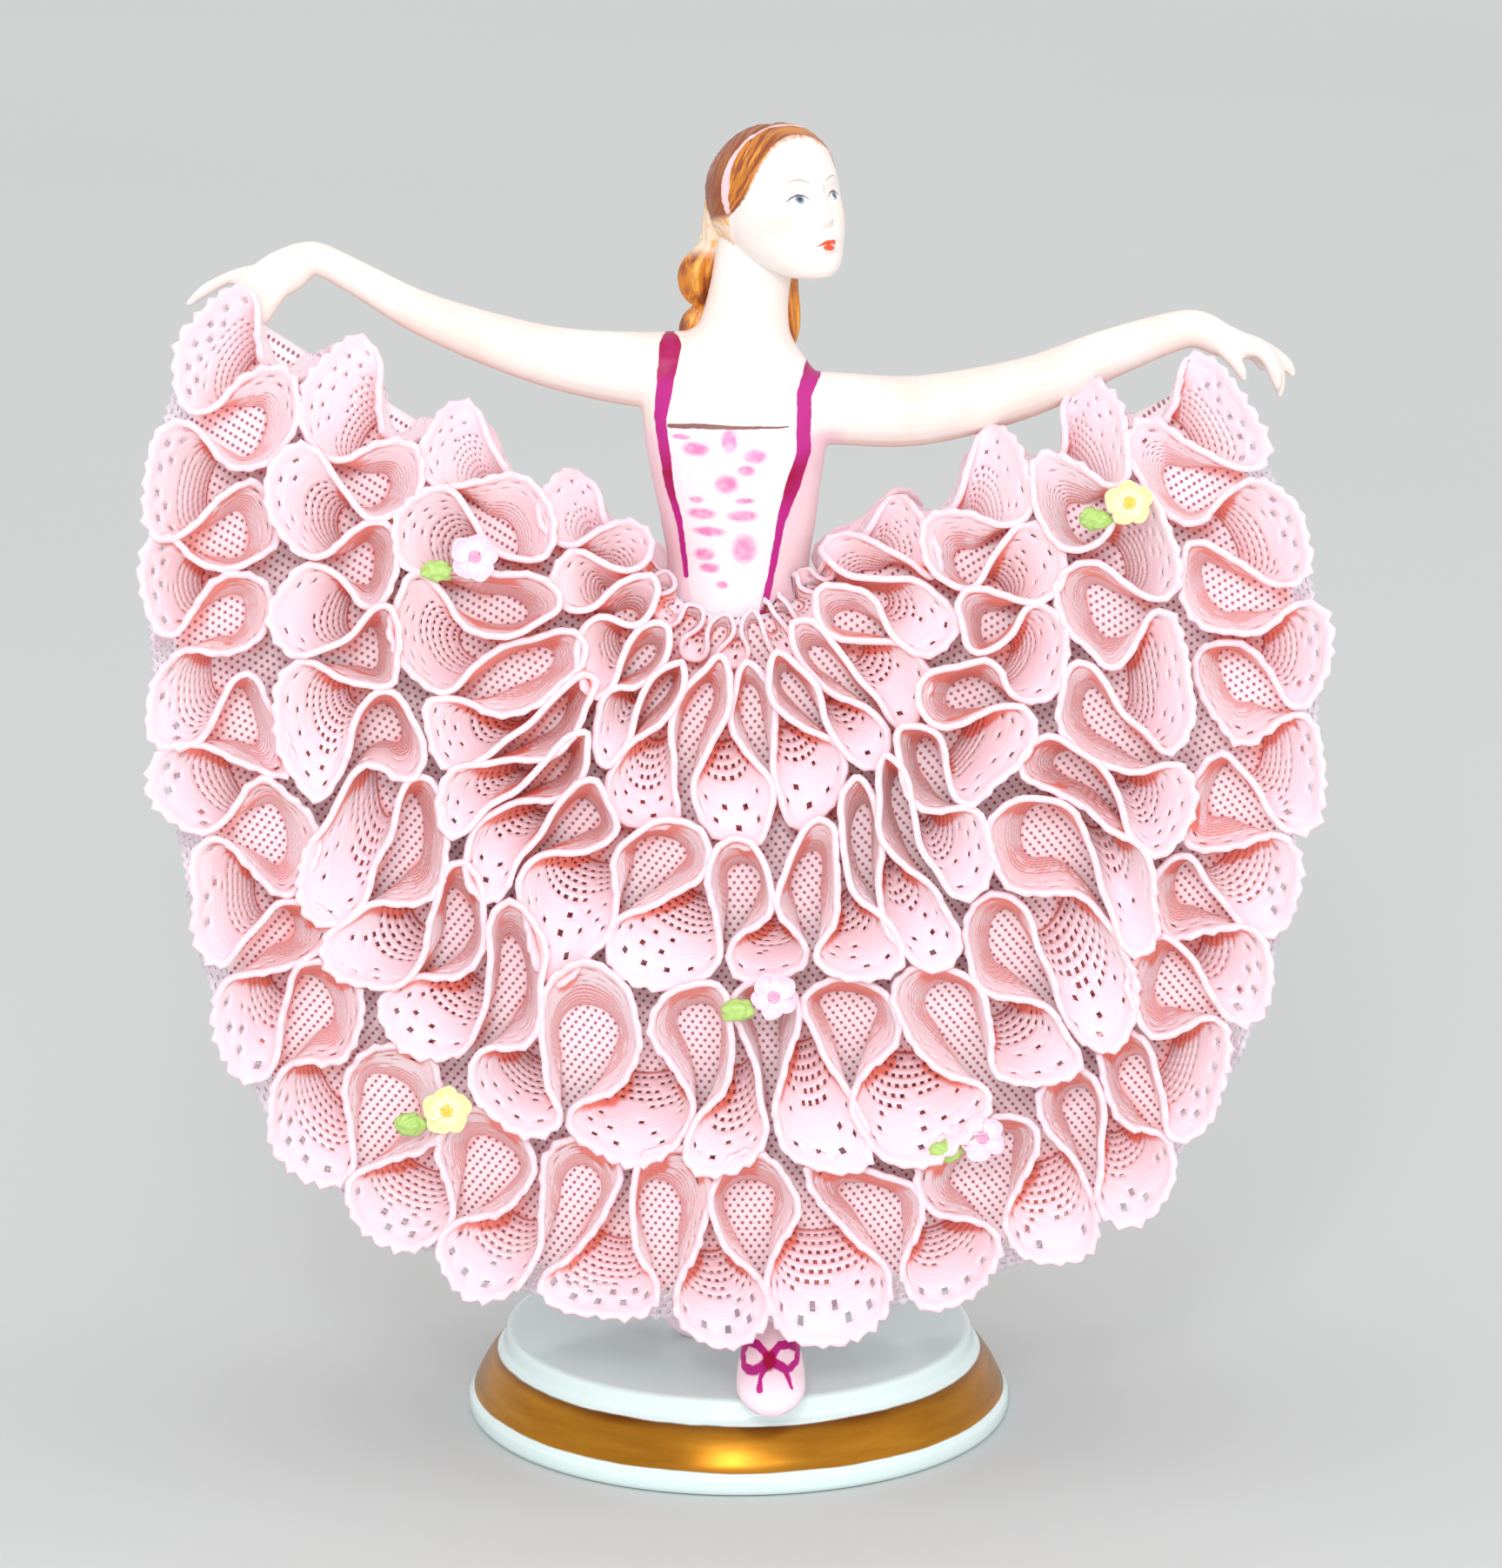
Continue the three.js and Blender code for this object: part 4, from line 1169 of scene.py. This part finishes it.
def shapeLocks():
    locks = [
        [(-12, 18, 934, 14), (-17, 20, 912, 11), (-20, 21, 897, 9), (-27, 21, 886, 12), (-34, 21, 875, 14),
         (-33, 21, 862, 13), (-29, 24, 848, 7), (-34, 25, 834, 11), (-36, 26, 822, 10), (-33, 27, 811, 4)],
        [(-4, 22, 932, 8), (-18, 32, 908, 9), (-24, 34, 885, 10), (-22, 36, 858, 9), (-26, 35, 835, 8),
         (-22, 34, 814, 4)],
        [(0, 26, 932, 8), (-9, 37, 908, 9), (-12, 40, 885, 10), (-9, 41, 856, 10), (-12, 39, 832, 8),
         (-9, 36, 812, 4)],
        [(6, 28, 932, 8), (1, 39, 908, 9), (1, 41, 885, 10), (3, 42, 856, 10), (0, 40, 830, 9),
         (3, 37, 810, 4)],
        [(14, 28, 932, 8), (12, 38, 908, 9), (13, 40, 885, 10), (16, 40, 856, 10), (13, 38, 832, 9),
         (16, 36, 812, 4)],
        [(22, 24, 932, 8), (23, 33, 908, 9), (25, 34, 885, 9), (27, 34, 858, 8), (25, 33, 836, 8),
         (24, 33, 816, 4)],
        [(26, 20, 932, 8), (33, 26, 896, 8), (39, 25, 870, 8), (41, 23, 846, 8), (41, 21, 828, 7),
         (39, 19, 812, 4)],
    ]
    parts = []
    for index, lock in enumerate(locks):
        rings = limbRings(lock, 36, 8)
        count, sides = rings.shape[:2]
        turn = circle(sides)
        way = np.linspace(0, 1, count)[:, None]
        groove = 1 + 0.11 * np.sin(6 * turn[None, :] + 11 * way + index)
        middle = rings.mean(axis=1, keepdims=True)
        parts.append(addLoft("lock", middle + (rings - middle) * groove[..., None]))
    piece = joinPieces("napeLocks", parts)
    shadeSmooth(piece)
    return piece


def shapeLegs():
    standing = [
        (-27, 0, 500, 39), (-31, 0, 404, 38), (-32, 6, 261, 27), (-33, 20, 166, 26), (-34, 32, 56, 15),
        (-34, 32, 22, 15),
    ]
    forward = [
        (30, 0, 500, 39), (31, -30, 404, 38), (30, -72, 267, 27), (27, -76, 178, 26), (25, -80, 82, 16),
        (25, -84, 50, 17),
    ]
    parts = [addLoft("leg", limbRings(leg)) for leg in (standing, forward)]
    sideways, upwards = np.eye(3)[0], np.eye(3)[2]
    for x, heel, toe, heelRise in ((-34, 52, -44, 14), (26, -80, -234, 44)):
        stations = [
            (0, 6, 8, 14), (0.06, 12, 13, 17), (0.2, 17, 18, 20), (0.42, 20, 20, 22), (0.68, 27, 16, 17),
            (0.84, 27, 14, 13), (0.94, 21, 11, 8.5), (1, 10, 6, 5),
        ]
        rings = []
        for way, half, halfHeight, lift in smoothSections(stations, 4):
            raised = heelRise * max(0, 1 - way / 0.75)
            centre = bodyPoint(x, heel + (toe - heel) * way, lift + raised + 1.8)
            rings.append(ringPoints(24, centre, sideways, upwards, half * share, halfHeight * share))
        parts.append(addLoft("slipper", np.array(rings)))
    piece = joinPieces("legsAndSlippers", parts)
    shadeSmooth(piece)
    return piece


# A brushed line through points given as x, z and half width
def strokeMask(flat, points, soft=0.12 * mm):
    masks = []
    for (x0, z0, half0), (x1, z1, half1) in zip(points, points[1:]):
        dx, dz = x1 - x0, z1 - z0
        square = dx * dx + dz * dz
        away = flat - (x0, 0, z0)
        way = away.reckon("DOT_PRODUCT", (dx / square, 0, dz / square), "Value")
        way = way.reckon("ADD", 0.0, use_clamp=True)
        inputs = {0: (dx, 0, dz), "Scale": way}
        nearest = addNode(flat.material, "ShaderNodeVectorMath", inputs, operation="SCALE")
        inside = way * (half1 - half0) + half0 - (away - nearest).size()
        masks.append(inside.ramp(0, 1, -soft / 2, soft / 2))
    return strongest(masks)


def spotMask(flat, x, z, halfX, halfZ, soft=0.25):
    away = (flat - (x, 0, z)) * (1 / halfX, 0, 1 / halfZ)
    return away.size().ramp(1, 0, 1 - soft, 1 + soft, True)


paint = {
    "skin": (0.86, 0.81, 0.775),
    # A warm tone that is both random warmth in the skin and painted shade at its turned edges
    "warmTintAndShade": (0.82, 0.58, 0.45),
    "panel": (0.87, 0.835, 0.875),
    "sidePink": (0.78, 0.44, 0.54),
    "magenta": (0.48, 0.015, 0.23),
    "crimson": (0.35, 0.0, 0.05),
    "markPink": (0.78, 0.24, 0.50),
    # The dark line along the bodice's top is painted shade under its raised edge
    "necklineEdgeShade": (0.25, 0.10, 0.10),
    "slipper": (0.90, 0.72, 0.80),
    "wander": 0.35,
    "legTop": 80,
    "bodiceTop": 140.5,
    "panelTop": 141.4,
    "panelSides": ((-10.4, 0.162), (9.0, -0.21)),
    "necklineStroke": [(-9.15, 140.6, 0.3), (-5, 140.85, 0.36), (6.63, 140.45, 0.1)],
    "rightStrap": [
        (-9.09, 150.6, 1.45), (-10.44, 141.4, 0.84), (-9.19, 131.95, 0.62), (-7.87, 127.1, 0.44),
        (-7.0, 119.5, 0.36),
    ],
    "leftStrap": [
        (10.5, 148.1, 1.35), (8.8, 144.3, 1.0), (8.72, 136.9, 0.97), (7.22, 132.2, 1.0),
        (5.72, 127.35, 0.6), (4.68, 121.24, 0.47), (3.05, 113.4, 0.5),
    ],
    "marks": [
        (-5.6, 137.8, 1.75, 0.95), (-1.2, 139.0, 1.1, 1.5), (2.3, 136.9, 1.45, 0.95),
        (1.05, 134.9, 1.15, 0.7), (-1.5, 132.9, 1.5, 1.25), (-4.9, 128.6, 1.75, 0.75),
        (0.57, 128.4, 1.9, 0.75), (-3.9, 126.1, 2.0, 0.65), (0.8, 123.7, 1.55, 1.9),
        (-4.55, 122.8, 1.25, 0.85), (-3.9, 120.9, 1.3, 0.65), (-7.6, 139.3, 1.2, 0.35),
        (0.9, 130.6, 1.2, 0.4), (-5.6, 130.6, 0.9, 0.45), (-2.2, 118.6, 0.8, 0.5),
    ],
    "bow": [
        [(4.1, 17.95, 0.45), (2.6, 19.1, 0.45), (1.2, 19.2, 0.45), (0.55, 18.1, 0.4), (0.8, 16.8, 0.4),
         (2.1, 16.8, 0.35), (4.1, 17.65, 0.4)],
        [(4.3, 17.95, 0.45), (5.6, 19.05, 0.45), (6.9, 19.05, 0.45), (8.0, 18.4, 0.4), (7.85, 17.2, 0.35),
         (6.6, 16.9, 0.3), (4.3, 17.75, 0.4)],
        [(3.9, 17.4, 0.3), (2.95, 16.5, 0.25), (2.85, 15.5, 0.45)],
        [(5.0, 17.6, 0.35), (6.2, 17.1, 0.3), (7.2, 15.4, 0.2)],
    ],
    "knot": (4.17, 17.8, 0.9, 0.8),
}


def scaled(points):
    return [tuple(value * mm for value in point) for point in points]


# Skin with painted shade at its turned edges, bodice, panel, marks, neckline with its painted shade, straps,
# slippers and bow, painted one over the other
def skinMaterial():
    material, place = newMaterial("paintedPorcelain")
    across, depth, height = place.parts()
    wander = (place.noise(700, 2, output="Color") - (0.5, 0.5, 0.5)) * ((paint["wander"] * mm,) * 3)
    flat = (place + wander) * (1, 0, 1)
    cloud = place.noise(70, 2)
    colour = mix(cloud.ramp(0, 0.5, 0.45, 0.75), paint["skin"], paint["warmTintAndShade"])
    # Painted shade: warmer where the skin turns away from the front and faces down
    colour = mix(attributeOf(material, "paintedEdgeShade") * 0.75, colour, paint["warmTintAndShade"])
    inFront = depth.ramp(1, 0, 0.0, 0.0015)
    aboveLegs = height > paint["legTop"] * mm
    trunk = abs(across).ramp(1, 0, 0.0125, 0.0155, True)
    top = paint["bodiceTop"] * mm
    bodice = height.ramp(1, 0, top - 2.5 * mm, top, True) * trunk * aboveLegs
    pinkTone = mix(cloud, paint["sidePink"], tuple(0.3 * part + 0.7 for part in paint["sidePink"]))
    colour = mix(bodice, colour, pinkTone)
    low = paint["panelTop"] * mm - height
    right, left = (low * slope + start * mm for start, slope in paint["panelSides"])
    panel = (across > right) * (across < left) * (height < top) * inFront * aboveLegs
    colour = mix(panel, colour, paint["panel"])
    marks = strongest([spotMask(flat, *mark, 0.4) for mark in scaled(paint["marks"])])
    marks = marks * panel * place.noise(900).ramp(0.6, 1.0, 0.3, 0.6)
    colour = mix(marks, colour, paint["markPink"])
    # Painted shade along the bodice's raised top edge
    colour = mix(strokeMask(flat, scaled(paint["necklineStroke"])) * inFront, colour, paint["necklineEdgeShade"])
    straps = strongest([strokeMask(flat, scaled(paint[name])) for name in ("rightStrap", "leftStrap")])
    dark = strongest([height.ramp(0, 1, 0.1458, 0.1478), abs(height - 0.1330).ramp(1, 0, 0.001, 0.0045)])
    dark = dark * place.noise(350).ramp(0.5, 1, 0.3, 0.6)
    strapTone = mix(dark, paint["magenta"], paint["crimson"])
    colour = mix(straps * depth.ramp(1, 0, 0.007, 0.008), colour, strapTone)
    colour = mix((height < 0.0215) * (depth < 0.02), colour, paint["slipper"])
    onToe = depth < -0.022
    bow = strongest([strokeMask(flat, scaled(stroke)) for stroke in paint["bow"]])
    colour = mix(bow * onToe, colour, paint["magenta"])
    knot = spotMask(flat, *scaled([paint["knot"]])[0])
    colour = mix(knot * onToe, colour, paint["crimson"])
    setShader(material, Base_Color=colour, Roughness=0.45, Specular_IOR_Level=0.35)
    return material


faceLook = {
    "white": (0.90, 0.90, 0.90),
    "iris": (0.16, 0.24, 0.34),
    "pupil": (0.02, 0.03, 0.06),
    "lash": (0.16, 0.08, 0.07),
    "brow": (0.30, 0.15, 0.11),
    "lip": (0.78, 0.09, 0.03),
    "blush": (0.92, 0.52, 0.38),
    "hair": (0.60, 0.20, 0.012),
    "hairDark": (0.26, 0.055, 0.014),
    "hairGold": (0.80, 0.40, 0.06),
    "hairPale": (0.86, 0.68, 0.52),
    "ribbon": (0.88, 0.62, 0.66),
    "eye": 17.5,
    "glance": 0.6,
}
# Brush strokes of the face's left half: tone, strength, softness and points
faceStrokes = [
    ("lash", 1.0, 0.5,
     [(10, 3.2, 0.35), (13.5, 6.4, 0.65), (18, 7.5, 0.8), (22.5, 6.0, 0.75), (26.5, 3.4, 0.3)]),
    ("lash", 0.6, 0.5, [(12, 1.6, 0.15), (17.5, 0.1, 0.25), (23.5, 1.8, 0.2)]),
    ("brow", 0.7, 0.8, [(8.5, 15.5, 0.35), (14, 18.6, 0.6), (20, 19.4, 0.5), (28, 15.8, 0.2)]),
    ("lip", 1.0, 0.5, [(9, -34.6, 0.3), (4.6, -32.8, 1.5), (1.6, -32.4, 1.7), (0, -33.4, 1.4)]),
]


def hairTone(place, level):
    streak = level.noise(1.0, 3, 0.6)
    tone = mix(streak.ramp(0, 1, 0.42, 0.55, True), faceLook["hairDark"], faceLook["hair"])
    tone = mix(streak.ramp(0, 1, 0.56, 0.68, True), tone, faceLook["hairGold"])
    return mix(place.noise(260, 2).ramp(0, 0.55, 0.5, 0.7), tone, faceLook["hair"])


# The face and the hair are painted in the head's own frame
def headMaterial():
    material, place = newMaterial("paintedHead")
    _, centre = headToBody()
    turned = (-figure["headLift"] * degree, 0, figure["headTurn"] * degree)
    local = place.mapped((share * mm,) * 3, tuple(centre * mm), turned, "TEXTURE")
    flat = local * (1, 0, 1)
    high = local.parts()[2]
    colour = mix(local.noise(0.03, 2), paint["skin"], tuple(0.98 * part for part in paint["skin"]))
    for side in (-1, 1):
        eye = side * faceLook["eye"]
        white = spotMask(flat, eye, 3.4, 7.0, 3.4, 0.08)
        iris = spotMask(flat, eye + faceLook["glance"], 3.9, 3.2, 3.3, 0.12)
        pupil = spotMask(flat, eye + faceLook["glance"], 4.0, 1.4, 1.5, 0.2)
        colour = mix(spotMask(flat, side * 27, -13, 10, 8, 0.8) * 0.3, colour, faceLook["blush"])
        colour = mix(white, colour, faceLook["white"])
        colour = mix(iris * white, colour, faceLook["iris"])
        colour = mix(pupil * white, colour, faceLook["pupil"])
        for tone, strength, soft, points in faceStrokes:
            stroke = strokeMask(flat, [(side * x, z, half) for x, z, half in points], soft)
            colour = mix(stroke * strength, colour, faceLook[tone])
        colour = mix(spotMask(flat, side * 2.6, -19.8, 1.1, 0.7, 0.4) * 0.5, colour, faceLook["blush"])
    colour = mix(spotMask(flat, 0, -36.8, 5.4, 2.5, 0.12), colour, faceLook["lip"])
    depth = attributeOf(material, "hairDepth")
    combed = addNode(material, "ShaderNodeCombineXYZ", {"X": depth * 0.34, "Y": high * 0.035})
    behind = attributeOf(material, "ribbonSide").ramp(0, 0.92, 0, 3)
    behind = behind * combed.noise(0.7).ramp(1, 0.7, 0.4, 0.65)
    tone = mix(behind, hairTone(place, combed), faceLook["hairDark"])
    curls = local.noise(0.16, 2).ramp(0, 0.8, 0.5, 0.62, True)
    paleTone = mix(curls, faceLook["hairPale"], faceLook["hairGold"])
    tone = mix(high.ramp(1, 0, -4, 3, True), tone, paleTone)
    edge = depth + local.noise(0.25).ramp(-1.2, 1.2)
    colour = mix(edge.ramp(0, 1, -0.4, 0.8), colour, tone)
    tied = attributeOf(material, "ribbonWay").ramp(1, 0, -0.3, 0.3) * high.ramp(0, 1, 1, 3)
    colour = mix(tied, colour, faceLook["ribbon"])
    setShader(material, Base_Color=colour, Roughness=0.34, Coat_Weight=0.12, Coat_Roughness=0.25)
    return material


def lockMaterial():
    material, place = newMaterial("hairGlaze")
    across, _, high = place.parts()
    tone = hairTone(place, place.mapped((650, 650, 120)))
    curls = place.noise(620, 2).ramp(0, 0.75, 0.52, 0.64, True)
    paleTone = mix(curls, faceLook["hairPale"], faceLook["hairGold"])
    upper = high.ramp(0, 1, 0.1612, 0.1632, True) * across.ramp(1, 0, -0.0012, 0.0004)
    setShader(material, Base_Color=mix(upper, tone, paleTone))
    setShader(material, Roughness=0.32, Coat_Weight=0.2, Coat_Roughness=0.2)
    return material


laceFinish = laceMaterial("pinkLace", laceLook)
cloths = []
for side, middleTurn, tiers, firstSeed in (("front", 0, frontTiers, 1), ("back", 180, backTiers, 11)):
    chart = makeChart(middleTurn, stir["seed"] + firstSeed)
    plans = [planRuffle(middleTurn, tier, firstSeed + index) for index, tier in enumerate(tiers)]
    nestTips(plans)
    for index, (tier, plan) in enumerate(zip(tiers, plans)):
        ruffle = sewRuffle(
            f"{side}Lace{index + 1}", middleTurn, tier, plan, chart, laceFinish, firstSeed + index
        )
        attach(ruffle, "root")
        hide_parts(f"ruffle_{side}_{index + 1}")
        cloths.append(ruffle)
        print(side, "ruffle", index + 1, len(ruffle.data.polygons))

netFinish = netMaterial("pinkNet", netLook)
silverFinish = cloudedMaterial(
    "silverHem", 300, underskirt["hemTones"], 0.5, 0.2,
    Roughness=0.3, Coat_Weight=0.3, Coat_Roughness=0.15,
)
bell, hem = sewUnderskirt(netFinish, silverFinish)
for piece in (bell, hem):
    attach(piece, "root")
    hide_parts("underskirt")
print("underskirt sewn", len(bell.data.polygons), len(hem.data.polygons))
# Paints the folds' shadow and the lamp-facing tint into the lace and the bell
markShaded(cloths + [bell], shading["lamp"], shading["reach"])
print("folds shaded")

pinkFinish = petalMaterial("pinkPetals", *flower["pink"])
yellowFinish = petalMaterial("yellowPetals", *flower["yellow"])
leafFinish = cloudedMaterial("leafGreen", 700, flower["leaf"], 0.6, 0.3, Roughness=0.35)
for index in range(1, 6):
    isYellow = index in (2, 4)
    blossom = makeBlossom(
        f"blossom{index}", f"flower_{index}", yellowFinish if isYellow else pinkFinish, 30 + index
    )
    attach(blossom, "root")
    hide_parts(f"flower_{index}")
    leaf = makeLeaf(f"greenLeaf{index}", f"leaf_{index}", leafFinish, 50 + index)
    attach(leaf, "root")
    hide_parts(f"leaf_{index}")
print("blossoms stuck on")

glazedBase = turnBase()
glazedBase.data.materials.append(baseMaterial())
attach(glazedBase, "root")
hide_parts("base")
print("base turned")

skin = skinMaterial()
for piece, finish in (
    (shapeDancer(), skin), (shapeLegs(), skin), (shapeHead(), headMaterial()),
    (shapeLocks(), lockMaterial())
):
    piece.data.materials.append(finish)
    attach(piece, "root")
    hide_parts("dancer")
    print(piece.name, len(piece.data.polygons))

# Studio
studio = {
    "target": (1.7, 0, 89.3),
    "distance": 900,
    "elevation": 14.5,
    "lens": 151.5,
    "world": 1.1,
    "worldTone": (0.92, 0.90, 0.90, 1),
    "floor": ((0.56, 0.595, 0.59), (0.60, 0.635, 0.63)),
    # Place, size, power and colour
    "key": ((-0.06, -0.9, 0.56), 0.16, 2.1, (1.0, 0.985, 0.97)),
    "front": ((0.05, -0.9, 0.3), 0.5, 2.5, (1.0, 0.98, 0.98)),
    "fill": ((0.9, -0.5, 0.5), 0.8, 0.6, (0.95, 0.97, 1.0)),
}


def addObject(name, data):
    thing = bpy.data.objects.new(name, data)
    bpy.context.scene.collection.objects.link(thing)
    return thing


def setCamera():
    target = Vector(studio["target"]) * mm
    lift = studio["elevation"] * degree
    data = bpy.data.cameras.new("camera")
    data.lens = studio["lens"]
    data.sensor_width = 36
    data.clip_start = 0.01
    camera = addObject("camera", data)
    camera.location = target + Vector((0, -math.cos(lift), math.sin(lift))) * studio["distance"] * mm
    camera.rotation_euler = (math.pi / 2 - lift, 0, 0)
    bpy.context.scene.camera = camera


def addLight(name, place, size, power, colour):
    data = bpy.data.lights.new(name, "AREA")
    data.size = size
    data.energy = power
    data.color = colour
    light = addObject(name, data)
    light.location = place
    aim = Vector((0, 0, 0.09)) - Vector(place)
    light.rotation_euler = aim.to_track_quat("-Z", "Y").to_euler()


setCamera()
for name in ("key", "front", "fill"):
    addLight(name, *studio[name])
world = bpy.data.worlds.new("studio")
world.use_nodes = True
background = world.node_tree.nodes["Background"]
setInputs(background, {"Color": studio["worldTone"], "Strength": studio["world"]})
bpy.context.scene.world = world
bpy.context.scene.view_settings.view_transform = "Standard"

clearSelection()
bpy.ops.mesh.primitive_plane_add(size=8, location=(0, 0, 0))
floor = bpy.context.object
floor.name = "floor"
floorMaterial, place = newMaterial("paleFloor")
setShader(floorMaterial, Base_Color=mix(place.noise(3, 2), *studio["floor"]), Roughness=0.7)
floor.data.materials.append(floorMaterial)
